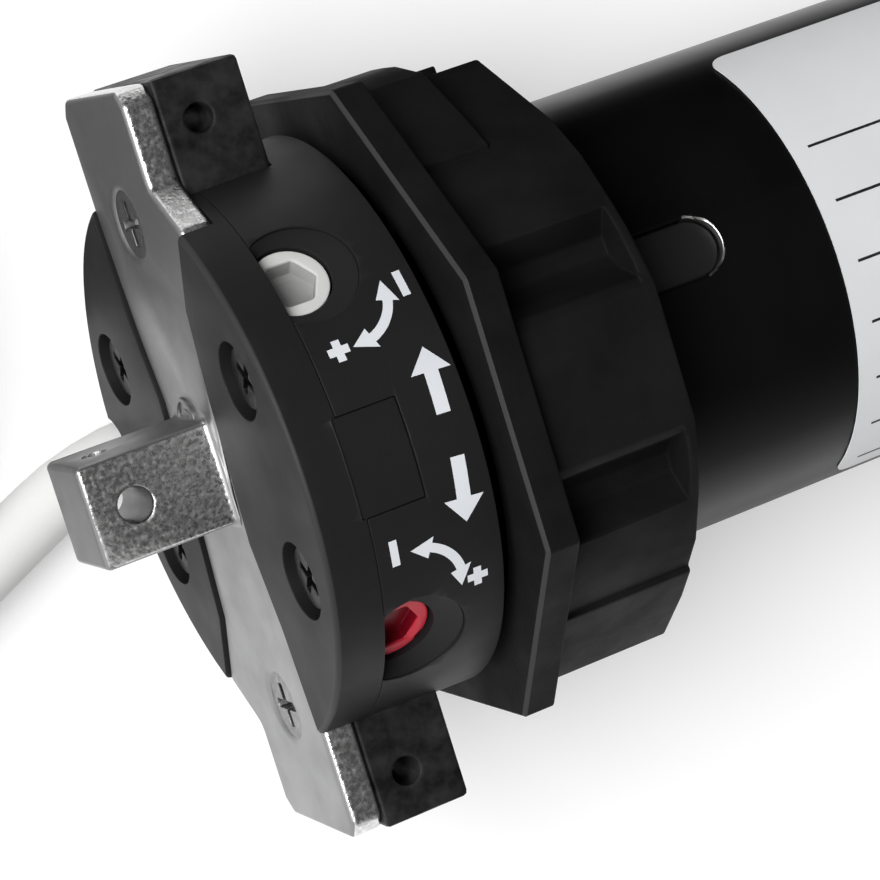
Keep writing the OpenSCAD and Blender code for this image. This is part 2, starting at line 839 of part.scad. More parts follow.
// Capacitor and wiring
module motor_wires() {
    color("peru") for (a = wire_angles)
        rotate([-a, 0, 0]) translate([0, 0, wire_at]) rod(wire_start, shield_start, wire_r);
}

module capacitor() {
    color("gainsboro") union() {
        rod(cap_start, cap_end, cap_r);
        for (y = [-0.5, 0.5])
            translate([0, y * cap_pin_gap, 0]) rod(cap_end - 0.01, cap_end + cap_pin_len, 1);
    }
}

module capacitor_holders() {
    holder_w = 8;
    color("#45474b") for (x = [cap_start + 4, cap_end - 4 - holder_w])
        difference() {
            ring(x, x + holder_w, insert_r, cap_r + fit);
            for (a = wire_angles)
                rotate([-a, 0, 0]) translate([0, 0, wire_at]) rod(x - eps, x + holder_w + eps, wire_r + fit);
        }
}

// Motor
module shield(x0, seat_x0) {
    difference() {
        rod(x0, x0 + shield_t, insert_r);
        rod(x0 - eps, x0 + shield_t + eps, shaft_r + 1.5);
        rod(seat_x0, seat_x0 + bearing_w + eps, bearing_r + fit);
    }
}

module front_shield() {
    color("silver") shield(shield_start, shield_start + 2);
}

module rear_shield() {
    color("silver") shield(rear_x0, rear_x0 - eps);
}

module rotor_bearings() {
    color("lightsteelblue") {
        ring(shield_start + 2 + fit, shield_start + shield_t, bearing_r, shaft_r + run);
        ring(rear_x0, rear_x0 + bearing_w - fit, bearing_r, shaft_r + run);
    }
}

module stator_core() {
    slots = 12;
    color("slategray") difference() {
        ring(stator_x0, stator_x1, insert_r, stator_bore);
        for (i = [0 : slots - 1])
            rotate([i * 360 / slots, 0, 0])
                slot_box(stator_x0 - eps, stator_x1 + eps, -1.4, 1.4, stator_bore - eps, stator_bore + 4.5);
    }
}

module stator_windings() {
    color("chocolate") {
        ring(stator_x0 - winding_len + 0.5, stator_x0, insert_r - 2.2, stator_bore + 0.6);
        ring(stator_x1, stator_x1 + winding_len - 0.5, insert_r - 2.2, stator_bore + 0.6);
    }
}

module rotor_core() {
    color("gray") ring(stator_x0, stator_x1, rotor_r, shaft_r + fit);
}

module rotor_shaft() {
    color("silver") {
        rod(shield_start + 1, pad_x0, shaft_r);
        rod(pad_x0 - 0.01, stage_1 + stage_w[0], shaft_end_r);
    }
}

// Brake, held on by its spring when the motor has no current
module brake_disc() {
    color("dimgray") ring(brake_x0, brake_x0 + brake_t, brake_r, shaft_r + fit);
}

module brake_pad() {
    color("#5b4636") ring(pad_x0, pad_x0 + pad_t, brake_r, 8);
}

module brake_plate() {
    color("silver") ring(plate_x0, plate_x1, insert_r, shaft_end_r + 1.5);
}

module brake_spring() {
    color("lightgray") ring(plate_x1, gear_start, 8, 7);
}

// Gearbox: three planet stages inside one toothed tube
module sun_gear(x0, x1) {
    prism(x0, x1) gear_2d(gear_module, sun_teeth, sun_phase);
}

module sun_pinion() {
    color("goldenrod") difference() {
        sun_gear(stage_1, stage_1 + stage_w[0]);
        rod(stage_1 - eps, stage_1 + stage_w[0] + eps, sun_bore);
    }
}

module ring_gear() {
    color("lightgray") difference() {
        rod(gear_start, ring_end, insert_r);
        prism(gear_start + end_wall, ring_end + eps) ring_space_2d(gear_module, ring_teeth);
        rod(gear_start - eps, gear_start + end_wall + eps, 5);
    }
}

function planet_phase(a) = a * (1 - ring_teeth / planet_teeth);

module planet(x0, w, a) {
    at = turn(planet_at, a);
    color("wheat") translate([0, at[0], at[1]]) difference() {
        prism(x0, x0 + w) gear_2d(gear_module, planet_teeth, planet_phase(a));
        rod(x0 - eps, x0 + w + eps, planet_pin_r + run);
    }
}

module planet_1a() { planet(stage_1, stage_w[0], planet_angles[0]); }
module planet_1b() { planet(stage_1, stage_w[0], planet_angles[1]); }
module planet_1c() { planet(stage_1, stage_w[0], planet_angles[2]); }
module planet_2a() { planet(stage_2, stage_w[1], planet_angles[0]); }
module planet_2b() { planet(stage_2, stage_w[1], planet_angles[1]); }
module planet_2c() { planet(stage_2, stage_w[1], planet_angles[2]); }
module planet_3a() { planet(stage_3, stage_w[2], planet_angles[0]); }
module planet_3b() { planet(stage_3, stage_w[2], planet_angles[1]); }
module planet_3c() { planet(stage_3, stage_w[2], planet_angles[2]); }

// A carrier's plate with its three planet pins, which reach back through the planets
module carrier_plate(plate_x, t, w) {
    rod(plate_x, plate_x + t, carrier_r);
    for (a = planet_angles)
        translate([0, planet_at * cos(a), planet_at * sin(a)])
            rod(plate_x - stage_gap - w, plate_x + 0.01, planet_pin_r);
}

module carrier_1() {
    color("burlywood") {
        carrier_plate(plate_1, carrier_t[0], stage_w[0]);
        sun_gear(plate_1 + carrier_t[0] - 0.01, stage_2 + stage_w[1]);
    }
}

module carrier_2() {
    color("darkkhaki") {
        carrier_plate(plate_2, carrier_t[1], stage_w[1]);
        sun_gear(plate_2 + carrier_t[1] - 0.01, stage_3 + stage_w[2]);
    }
}

module output_end_2d(c) {
    intersection() {
        square(output_af + 2 * c, center = true);
        circle(r = output_r + c);
    }
}

module output_carrier() {
    color("silver") difference() {
        union() {
            carrier_plate(plate_3, carrier_t[2], stage_w[2]);
            rod(plate_3, wheel_x0, output_r);
            prism(wheel_x0 - 0.01, wheel_x1 - 0.5) output_end_2d(0);
        }
        rod(wheel_x1 - wheel_screw_deep - 1, wheel_x1 + eps, wheel_screw_r + fit);
    }
}

module output_bush() {
    color("peru") ring(bush_x0, tube_end + cap_lip, bush_r, output_r + run);
}

module end_cap() {
    color("#26272a") difference() {
        union() {
            rod(ring_end + fit, tube_end, insert_r);
            rod(tube_end, tube_end + cap_lip, tube_r);
        }
        rod(ring_end, bush_x0, output_r + 1);
        rod(bush_x0, tube_end + cap_lip + eps, bush_r + fit);
        rod(ring_end, ring_end + 4, carrier_r + 1);
        tube_screw_places() cylinder(h = tube_r, r = tube_screw_r + fit);
    }
}

module tube_screw_places() {
    for (a = [45 : 90 : 315])
        radial(ring_end + tube_screw_back, a) translate([0, 0, tube_screw_deep]) children();
}

module tube_screws() {
    color("silver") tube_screw_places() cylinder(h = tube_r - tube_screw_deep, r = tube_screw_r);
}

// Drive wheel: an octagon shell, a hub, a web and ribs to its corners
module drive_wheel() {
    web_x = (wheel_x0 + wheel_x1) / 2;
    color("#26272a") difference() {
        union() {
            difference() {
                prism(wheel_x0, wheel_x1) octagon(wheel_af);
                prism(wheel_x0 - eps, wheel_x1 + eps) octagon(wheel_af - 2 * wheel_wall);
            }
            rod(wheel_x0, wheel_x1, wheel_hub_r);
            prism(web_x - wheel_wall / 2, web_x + wheel_wall / 2) octagon(wheel_af - wheel_wall);
            for (a = [22.5 : 45 : 337.5])
                rotate([a, 0, 0])
                    slot_box(wheel_x0 + 1, wheel_x1 - 1, -wheel_wall / 2, wheel_wall / 2,
                        wheel_hub_r - 1, wheel_af / 2 - 1);
        }
        prism(wheel_x0 - eps, wheel_x1 + eps) output_end_2d(fit);
    }
}

module wheel_washer() {
    color("silver") ring(wheel_x1, wheel_x1 + washer_t, washer_r, wheel_screw_r + fit);
}

module wheel_screw() {
    head_x = wheel_x1 + washer_t;
    color("silver") difference() {
        union() {
            rod(wheel_x1 - wheel_screw_deep, head_x + 0.01, wheel_screw_r);
            rod(head_x, head_x + wheel_screw_head, wheel_screw_head_r);
        }
        prism(head_x + 1.2, head_x + wheel_screw_head + eps) circle(r = 2.3, $fn = 6);
    }
}

// Cable: a plug in the head, a free stretch on the table, a coil in two layers, and bare cores
module cable_plug() {
    color("#303133") difference() {
        slot_box(plug_x0, plug_x1, -gland_w / 2, gland_w / 2, table_z + 0.1, plug_top);
        cable_notch(plug_x0 - eps, cable_x0);
    }
}

// A tube of triangles along rings of points
function ring_faces(sides, rings) = concat(
    [for (k = [1 : sides - 2]) [0, k, k + 1]],
    [for (i = [0 : rings - 2], k = [0 : sides - 1])
        let (a = i * sides + k, b = i * sides + (k + 1) % sides)
        each [[a, a + sides, b], [b, a + sides, b + sides]]],
    [for (k = [1 : sides - 2]) let (o = (rings - 1) * sides) [o, o + k + 1, o + k]]
);

function unit(v) = v / norm(v);

function tangent(p, i) = unit(p[min(i + 1, len(p) - 1)] - p[max(i - 1, 0)]);

function ring_at(c, t, r, sides) =
    let (side = unit(cross([0, 0, 1], t)), up = cross(t, side))
    [for (k = [0 : sides - 1])
        let (a = 360 * (k + 0.5) / sides)
        c + r * cos(a) * side + r * sin(a) * up];

module swept(p, tangents, r, sides) {
    polyhedron(
        points = [for (i = [0 : len(p) - 1]) each ring_at(p[i], tangents[i], r, sides)],
        faces = ring_faces(sides, len(p)), convexity = 8);
}

// The coil's rings: a straight lead, inwards below, outwards above and a straight end. It climbs a layer
// in the half turn where the spiral reverses, and turns clockwise, seen from above.
coil_mid = coil_turns * coil_rings;
coil_total = coil_mid + coil_out * coil_rings;
coil_inner = coil_r - coil_step * coil_turns;

function coil_radius(i) = coil_inner + coil_step * abs(i - coil_mid) / coil_rings;

function coil_height(i) =
    let (s = max(0, min(1, 2 * (i - coil_mid) / coil_rings + 0.5)))
    coil_z + coil_step * s * s * (3 - 2 * s);

function coil_angle(i) = coil_start - 360 * i / coil_rings;

function coil_point(i) =
    let (p = turn(coil_radius(i), coil_angle(i)))
    [coil_at[0] + p[0], coil_at[1] + p[1], coil_height(i)];

function coil_heading(i) = [sin(coil_angle(i)), -cos(coil_angle(i)), 0];

coil_turned = [for (i = [0 : coil_total]) coil_point(i)];
coil_path = concat(
    [coil_turned[0] - cable_d * coil_heading(0)],
    coil_turned,
    [coil_turned[coil_total] + cable_d * coil_heading(coil_total)]
);
coil_last = len(coil_path) - 1;

// Least gap between turns, from the distances between rings at least a third of a turn apart
coil_gap = min([for (i = [0 : coil_total - 8], j = [i + 8 : coil_total])
    norm(coil_turned[i] - coil_turned[j])]) - cable_d;

module cable_coil() {
    echo(coil_gap = coil_gap);
    tangents = [for (i = [0 : coil_last])
        i <= 1 ? coil_heading(0) : i >= coil_last - 1 ? coil_heading(coil_total) : tangent(coil_path, i)];
    color("white") swept(coil_path, tangents, cable_r, coil_sides);
}

// The run's height climbs from the table to the coil's first layer, and its end is straight
function run_height(i) =
    let (s = max(0, min(1, (i - run_climb) / (len(run_points) - 1 - run_climb))))
    cable_z + (coil_z - cable_z) * s * s * (3 - 2 * s);

run_path = concat(
    [for (i = [0 : len(run_points) - 1]) [run_points[i][0], run_points[i][1], run_height(i)]],
    [coil_path[0] - cable_d * coil_heading(0), coil_path[0]]
);
run_last = len(run_path) - 1;

module cable_run() {
    tangents = [for (i = [0 : run_last])
        i <= 1 ? [-1, 0, 0] : i >= run_last - 1 ? coil_heading(0) : tangent(run_path, i)];
    color("white") swept(run_path, tangents, cable_r, run_sides);
}

// Flat straps round the coil's turns
module coil_ties() {
    r_in = coil_inner - cable_r - 0.4;
    r_out = coil_r + cable_r + 0.4;
    z_low = table_z + fit;
    z_high = coil_z + coil_step + cable_r + 0.4;
    color("#222326") for (a = tie_angles)
        translate([coil_at[0], coil_at[1], 0]) rotate([0, 0, a]) difference() {
            slot_box(r_in - tie_t, r_out + tie_t, -tie_w / 2, tie_w / 2, z_low, z_high + tie_t);
            slot_box(r_in, r_out, -tie_w, tie_w, z_low + tie_t, z_high);
        }
}

// The bare cores go straight on from the coil's end
module core_places() {
    end = coil_path[coil_last];
    for (o = core_offsets)
        translate(end) rotate([0, 0, coil_angle(coil_total) - 90])
            translate([0, o[0] * (core_d / 2 + 0.2), o[1] * (core_d / 2 + 0.2)]) children();
}

module cable_cores() {
    color("peru") core_places() rod(0, core_len - ferrule_len, core_d / 2);
}

module core_ferrules() {
    color("silver") core_places() rod(core_len - ferrule_len, core_len, ferrule_d / 2);
}

bracket_arm();
lug_blocks();
arm_screws();
face_cover();
head_housing();
face_screws();
adjuster_white();
adjuster_red();
limit_sleeve();
limit_frame();
limit_spindle_up();
limit_spindle_down();
limit_nut_up();
limit_nut_down();
limit_switches();
terminal_block();
crown_ring();
motor_tube();
rating_label();
motor_wires();
capacitor();
capacitor_holders();
front_shield();
rear_shield();
rotor_bearings();
stator_core();
stator_windings();
rotor_core();
rotor_shaft();
brake_disc();
brake_pad();
brake_plate();
brake_spring();
sun_pinion();
ring_gear();
planet_1a();
planet_1b();
planet_1c();
carrier_1();
planet_2a();
planet_2b();
planet_2c();
carrier_2();
planet_3a();
planet_3b();
planet_3c();
output_carrier();
output_bush();
end_cap();
tube_screws();
drive_wheel();
wheel_washer();
wheel_screw();
cable_plug();
cable_run();
cable_coil();
coil_ties();
cable_cores();
core_ferrules();
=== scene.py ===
"""Looks of the tubular blind motor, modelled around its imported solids."""

import json
import math

import bmesh
import bpy
from mathutils import Matrix, Vector


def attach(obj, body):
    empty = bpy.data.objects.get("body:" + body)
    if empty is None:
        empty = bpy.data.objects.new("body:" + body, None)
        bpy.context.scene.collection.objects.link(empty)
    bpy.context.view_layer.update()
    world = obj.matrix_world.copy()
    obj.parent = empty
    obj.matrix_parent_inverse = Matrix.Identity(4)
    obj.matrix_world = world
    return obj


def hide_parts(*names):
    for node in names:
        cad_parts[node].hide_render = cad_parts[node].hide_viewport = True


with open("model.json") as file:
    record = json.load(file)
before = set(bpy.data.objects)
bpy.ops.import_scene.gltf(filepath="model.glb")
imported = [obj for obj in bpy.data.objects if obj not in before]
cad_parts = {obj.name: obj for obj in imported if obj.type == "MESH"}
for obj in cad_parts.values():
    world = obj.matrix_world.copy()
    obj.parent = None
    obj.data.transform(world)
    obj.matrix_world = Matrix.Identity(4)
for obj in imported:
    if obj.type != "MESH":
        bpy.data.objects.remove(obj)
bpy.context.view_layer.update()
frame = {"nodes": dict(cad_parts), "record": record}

# Sizes are in millimetres, and x runs along the motor's axis; the scene's own unit is the metre

MM = 0.001
QUARTER_TURN = math.pi / 2
FACING = 0.9  # least part of a normal along the way that its face looks
HEAD_FACE_R = 27.2
HEAD_BACK_R = 27.4
SEAM_X = 4.45
HEAD_BACK_X = 16.5
LABEL_R = 22.55
LABEL_SKIN = 0.15
TABLE_Z = -30.55
TABLE_GAP = 0.05
CABLE_R = 3.5
STRAP_T = 0.8


# Working with one piece at a time

WELD_WITHIN = 0.003
FLAT_UNDER = 0.5
SHARP_OVER = 32.0
SMOOTH_UNDER = 38.0
EDGE_STEPS = 2
FINE_STEPS = 3
ROUND_SIDES = 48
OUTER_SIDE, INNER_SIDE = 1.0, -1.0


def focus(piece):
    """Selects one piece alone and makes it the active one."""
    bpy.ops.object.select_all(action="DESELECT")
    piece.select_set(True)
    bpy.context.view_layer.objects.active = piece


def in_scene(name, data):
    """Puts a mesh, a curve, a lamp or a camera into the scene."""
    thing = bpy.data.objects.new(name, data)
    bpy.context.scene.collection.objects.link(thing)
    return thing


def plain_form(add, **settings):
    """Starts a piece from one of Blender's plain forms."""
    bpy.ops.object.select_all(action="DESELECT")
    add(**settings)
    return bpy.context.active_object


def in_edit_mode(piece):
    """Opens a piece for editing with everything deselected."""
    focus(piece)
    bpy.ops.object.mode_set(mode="EDIT")
    bpy.ops.mesh.select_all(action="DESELECT")


def out_of_edit_mode():
    bpy.ops.object.mode_set(mode="OBJECT")


def pick(piece, mode, wanted):
    """Selects the faces that pass a test of middle and normal, or the edges that pass one of middle and edge."""
    edit = bmesh.from_edit_mesh(piece.data)
    bpy.ops.mesh.select_mode(type=mode)
    bpy.ops.mesh.select_all(action="DESELECT")
    if mode == "FACE":
        for face in edit.faces:
            face.select = wanted(face.calc_center_median(), face.normal)
    else:
        for edge in edit.edges:
            edge.select = wanted((edge.verts[0].co + edge.verts[1].co) / 2, edge)
    edit.select_flush_mode()
    bmesh.update_edit_mesh(piece.data)


def pull_out(*way):
    """Extrudes what is picked."""
    bpy.ops.mesh.extrude_region_move(TRANSFORM_OT_translate={"value": tuple(part * MM for part in way)})


def turn_faces_over(piece):
    in_edit_mode(piece)
    bpy.ops.mesh.select_all(action="SELECT")
    bpy.ops.mesh.flip_normals()
    out_of_edit_mode()


def apply_modifiers(piece):
    focus(piece)
    for name in [m.name for m in piece.modifiers]:
        bpy.ops.object.modifier_apply(modifier=name)


def thicken(piece, thickness, side, even=False):
    """Gives a thin sheet its thickness, on one side of it."""
    wall = piece.modifiers.new("wall", "SOLIDIFY")
    wall.thickness = thickness * MM
    wall.offset = side
    wall.use_even_offset = even
    apply_modifiers(piece)


def round_edges(piece, width, segments=EDGE_STEPS, where=None, angle=SHARP_OVER):
    """Bevels a piece's sharp edges, or those of them at a place."""
    in_edit_mode(piece)

    def wanted(middle, edge):
        if len(edge.link_faces) != 2 or edge.calc_face_angle() < math.radians(angle):
            return False
        return where is None or where(middle / MM)

    pick(piece, "EDGE", wanted)
    bpy.ops.mesh.bevel(
        offset=width * MM, segments=segments, affect="EDGES", clamp_overlap=False, miter_outer="ARC"
    )
    out_of_edit_mode()


def smooth(piece):
    """Shades a piece smooth between its sharp edges."""
    focus(piece)
    bpy.ops.object.shade_smooth_by_angle(angle=math.radians(SMOOTH_UNDER))
    even = piece.modifiers.new("even", "WEIGHTED_NORMAL")
    even.keep_sharp = True
    apply_modifiers(piece)


def settle(piece, body, slot, material, *nodes):
    """Gives a finished piece its finish and its body, and hides the solids that it stands for."""
    piece.data.materials.clear()
    piece.data.materials.append(material)
    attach(piece, body)
    if nodes:
        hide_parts(*nodes)
    return piece


def solid_copy(node, name):
    """A copy of a solid, with its loose triangles joined and its flat faces made whole."""
    mesh = frame["nodes"][node].data.copy()
    mesh.materials.clear()
    piece = in_scene(name, mesh)
    in_edit_mode(piece)
    bpy.ops.mesh.select_all(action="SELECT")
    bpy.ops.mesh.remove_doubles(threshold=WELD_WITHIN * MM)
    bpy.ops.mesh.customdata_custom_splitnormals_clear()
    bpy.ops.mesh.dissolve_limited(angle_limit=math.radians(FLAT_UNDER))
    out_of_edit_mode()
    return piece


def dressed_copy(node, name, body, slot, width, where=None, first=(), finish=None):
    """A solid with softened edges and its finish, in that solid's place."""
    piece = solid_copy(node, name)
    for special in first:
        round_edges(piece, *special)
    round_edges(piece, width, where=where)
    smooth(piece)
    return settle(piece, body, slot, finish or FINISHES[slot], node)


def mark_faces(piece, label, wanted):
    """Writes a mask on a piece's faces, 1 where the test passes, for its finish to read."""
    mask = piece.data.attributes.new(label, "FLOAT", "FACE")
    for face in piece.data.polygons:
        mask.data[face.index].value = float(wanted(face.center / MM, face.normal))


def sunk_mark(piece, at, turn, radius, depth):
    """Sinks a shallow round mark into a piece."""
    cutter = plain_form(
        bpy.ops.mesh.primitive_cylinder_add, vertices=ROUND_SIDES, radius=radius * MM, depth=2 * depth * MM,
        location=Vector(at) * MM, rotation=turn,
    )
    cut = piece.modifiers.new("mark", "BOOLEAN")
    cut.operation = "DIFFERENCE"
    cut.object = cutter
    cut.solver = "EXACT"
    apply_modifiers(piece)
    bpy.data.objects.remove(cutter)


def joined_pieces(name, parts):
    bpy.ops.object.select_all(action="DESELECT")
    for part in parts:
        part.select_set(True)
    bpy.context.view_layer.objects.active = parts[0]
    bpy.ops.object.join()
    parts[0].name = name
    return parts[0]


def flat_piece(name, outlines):
    """Flat outlines, filled and made one mesh."""
    curve = bpy.data.curves.new(name, "CURVE")
    curve.dimensions = "2D"
    curve.fill_mode = "BOTH"
    for outline in outlines:
        spline = curve.splines.new("POLY")
        spline.points.add(len(outline) - 1)
        for point, (along, across) in zip(spline.points, outline):
            point.co = (along * MM, across * MM, 0, 1)
        spline.use_cyclic_u = True
    focus(in_scene(name, curve))
    bpy.ops.object.convert(target="MESH")
    return bpy.context.active_object


def wrap_round(piece, radius_at, rolled_r, low, high, step, skin):
    """Cuts a flat piece across in narrow strips, rolls it round the axis and gives it its thickness."""
    in_edit_mode(piece)
    for cut in range(1, math.ceil((high - low) / step)):
        bpy.ops.mesh.select_all(action="SELECT")
        bpy.ops.mesh.bisect(plane_co=(0, (low + cut * step) * MM, 0), plane_no=(0, 1, 0))
    out_of_edit_mode()
    for vert in piece.data.vertices:
        along, angle = vert.co.x / MM, vert.co.y / MM / rolled_r
        radius = radius_at(along)
        vert.co = Vector((along, radius * math.sin(angle), radius * math.cos(angle))) * MM
    piece.data.update()
    face = piece.data.polygons[0]
    if face.normal.y * face.center.y + face.normal.z * face.center.z < 0:
        turn_faces_over(piece)
    thicken(piece, skin, OUTER_SIDE)


# Camera, at the photograph's viewing angle

CAMERA_LENS = 136.09
CAMERA_SENSOR = 36.0
CAMERA_NEAR, CAMERA_FAR = 5.0, 20000.0
CAMERA_RIGHT = Vector((0.87675, -0.29185, 0.38228))
CAMERA_UP = Vector((0.33386, 0.94145, -0.04696))
CAMERA_BACK = CAMERA_RIGHT.cross(CAMERA_UP)
CAMERA_AT = Vector((-87.63, 48.67, 295.17)) * MM

camera_data = bpy.data.cameras.new("photo_camera")
camera_data.lens = CAMERA_LENS
camera_data.sensor_width = CAMERA_SENSOR
camera_data.clip_start = CAMERA_NEAR * MM
camera_data.clip_end = CAMERA_FAR * MM
camera = in_scene("photo_camera", camera_data)
camera.matrix_world = Matrix(
    [[CAMERA_RIGHT[i], CAMERA_UP[i], CAMERA_BACK[i], CAMERA_AT[i]] for i in range(3)]
    + [[0, 0, 0, 1]]
)
bpy.context.scene.camera = camera


# Shader groups for what several finishes share
# A NOISE is its detail and roughness, and a BAND is the part of it that is used

GRAIN_SCALE, CLOUD_SCALE = 2600.0, 90.0
CRYSTAL_SCALE, PIT_SCALE = 1500.0, 1400.0
GRAIN_NOISE, CLOUD_NOISE, PIT_NOISE = (3.0, 0.6), (3.0, 0.55), (4.0, 0.7)
PATCH_BAND, SPECK_BAND, PIT_BAND = (0.32, 0.68), (0.62, 0.78), (0.36, 0.62)
CRYSTAL_HEIGHT, PIT_HEIGHT = 0.7, 0.6
MIX_FIRST, MIX_SECOND, MIX_RESULT = 6, 7, 2


def shader_group(name, inputs, outputs, build):
    group = bpy.data.node_groups.new(name, "ShaderNodeTree")
    group.interface.new_socket("Vector", in_out="INPUT", socket_type="NodeSocketVector")
    for label, value in inputs:
        socket = group.interface.new_socket(label, in_out="INPUT", socket_type="NodeSocketFloat")
        socket.default_value = value
    for label in outputs:
        group.interface.new_socket(label, in_out="OUTPUT", socket_type="NodeSocketFloat")
    build(group, group.nodes.new("NodeGroupInput"), group.nodes.new("NodeGroupOutput"))
    return group


def joined(tree, start, end):
    tree.links.new(start, end)


def feed(tree, value, socket):
    """Gives a socket a number, a colour or another node's output."""
    if isinstance(value, (int, float)):
        socket.default_value = value
    elif isinstance(value, tuple):
        socket.default_value = (*value, 1.0)
    else:
        joined(tree, value, socket)


def noise(tree, vector, scale, detail, rough):
    node = tree.nodes.new("ShaderNodeTexNoise")
    node.inputs["Detail"].default_value = detail
    node.inputs["Roughness"].default_value = rough
    joined(tree, vector, node.inputs["Vector"])
    joined(tree, scale, node.inputs["Scale"])
    return node.outputs["Fac"]


def spread(tree, value, low, high, to_low=0.0, to_high=1.0):
    """Maps a value from one range to another, and holds it there."""
    node = tree.nodes.new("ShaderNodeMapRange")
    ends = {"From Min": low, "From Max": high, "To Min": to_low, "To Max": to_high}
    for label, number in ends.items():
        feed(tree, number, node.inputs[label])
    joined(tree, value, node.inputs["Value"])
    return node.outputs["Result"]


def between(tree, amount, first, second):
    """A number between two, by an amount."""
    return spread(tree, amount, 0.0, 1.0, first, second)


def mixed(tree, amount, first, second):
    """A colour between two, by an amount."""
    node = tree.nodes.new("ShaderNodeMix")
    node.data_type = "RGBA"
    joined(tree, amount, node.inputs["Factor"])
    feed(tree, first, node.inputs[MIX_FIRST])
    feed(tree, second, node.inputs[MIX_SECOND])
    return node.outputs[MIX_RESULT]


def reckon(tree, operation, first, second):
    node = tree.nodes.new("ShaderNodeMath")
    node.operation = operation
    feed(tree, first, node.inputs[0])
    feed(tree, second, node.inputs[1])
    return node.outputs["Value"]


def build_moulding(group, inner, outer):
    """Moulded plastic: a fine spark grain, with faint cloudy patches."""
    vector = inner.outputs["Vector"]
    fine = noise(group, vector, inner.outputs["Grain scale"], *GRAIN_NOISE)
    cloud = noise(group, vector, inner.outputs["Cloud scale"], *CLOUD_NOISE)
    joined(group, fine, outer.inputs["Height"])
    joined(group, spread(group, cloud, *PATCH_BAND), outer.inputs["Patches"])
    joined(group, spread(group, fine, *SPECK_BAND), outer.inputs["Specks"])


MOULDING = shader_group(
    "moulded_grain", [("Grain scale", GRAIN_SCALE), ("Cloud scale", CLOUD_SCALE)],
    ["Height", "Patches", "Specks"], build_moulding,
)


def build_casting(group, inner, outer):
    """Cast metal: crystals of differing brightness with pits between them."""
    vector = inner.outputs["Vector"]
    cells = group.nodes.new("ShaderNodeTexVoronoi")
    joined(group, vector, cells.inputs["Vector"])
    joined(group, inner.outputs["Crystal scale"], cells.inputs["Scale"])
    tint = group.nodes.new("ShaderNodeSeparateColor")
    joined(group, cells.outputs["Color"], tint.inputs["Color"])
    rough = noise(group, vector, inner.outputs["Pit scale"], *PIT_NOISE)
    bumps = reckon(group, "MULTIPLY", cells.outputs["Distance"], CRYSTAL_HEIGHT)
    height = reckon(group, "ADD", bumps, reckon(group, "MULTIPLY", rough, PIT_HEIGHT))
    joined(group, height, outer.inputs["Height"])
    joined(group, tint.outputs["Green"], outer.inputs["Crystals"])
    joined(group, spread(group, rough, *PIT_BAND), outer.inputs["Pits"])


CASTING = shader_group(
    "cast_skin", [("Crystal scale", CRYSTAL_SCALE), ("Pit scale", PIT_SCALE)],
    ["Height", "Crystals", "Pits"], build_casting,
)


# Finishes

PATCH_SHARE, SPECK_SHARE = 0.7, 0.3
PLASTIC_RELIEF, METAL_RELIEF, CAST_RELIEF, THIN_RELIEF = 0.5, 0.4, 0.7, 0.4
METAL_DEPTH, CAST_DEPTH, PAINT_DEPTH, CORE_DEPTH = 0.02, 0.06, 0.006, 0.01
SATIN_HEIGHT, GRIT_HEIGHT = 0.05, -1.0
SATIN_DARK, SATIN_LIGHT = (0.30, 0.30, 0.305), (0.36, 0.36, 0.36)
GRAIN_DARK, GRAIN_LIGHT, GRAIN_SPARK = (0.66, 0.66, 0.66), (0.86, 0.86, 0.85), (0.95, 0.95, 0.94)
PAINT_DARK, PAINT_LIGHT = (0.0022, 0.0022, 0.0023), (0.0040, 0.0040, 0.0042)
BARE_METAL = (0.50, 0.50, 0.49)
SATIN_ROUGH, GRAIN_ROUGH, PAINT_ROUGH, CORE_ROUGH = (0.46, 0.38), (0.42, 0.20), (0.33, 0.27), (0.46, 0.36)


class Finish:
    """A material being made: its tree, its shader and its object coordinates."""

    def __init__(self, name, colour, rough, metallic=0.0, specular=0.5):
        self.material = bpy.data.materials.new(name)
        self.material.use_nodes = True
        self.tree = self.material.node_tree
        self.shader = self.tree.nodes["Principled BSDF"]
        self.set("Base Color", (*colour, 1.0))
        self.set("Roughness", rough)
        self.set("Metallic", metallic)
        self.set("Specular IOR Level", specular)
        self.place = self.tree.nodes.new("ShaderNodeTexCoord").outputs["Object"]

    def set(self, label, value):
        self.shader.inputs[label].default_value = value

    def link(self, value, label):
        joined(self.tree, value, self.shader.inputs[label])

    def use(self, group, **values):
        """Adds a shared group, with its scales."""
        node = self.tree.nodes.new("ShaderNodeGroup")
        node.node_tree = group
        joined(self.tree, self.place, node.inputs["Vector"])
        for label, value in values.items():
            node.inputs[label.replace("_", " ").capitalize()].default_value = value
        return node

    def read(self, label, output="Fac"):
        """What a piece's faces carry under a label."""
        node = self.tree.nodes.new("ShaderNodeAttribute")
        node.attribute_name = label
        return node.outputs[output]

    def bump(self, height, depth, strength):
        node = self.tree.nodes.new("ShaderNodeBump")
        node.inputs["Strength"].default_value = strength
        node.inputs["Distance"].default_value = depth * MM
        joined(self.tree, height, node.inputs["Height"])
        self.link(node.outputs["Normal"], "Normal")


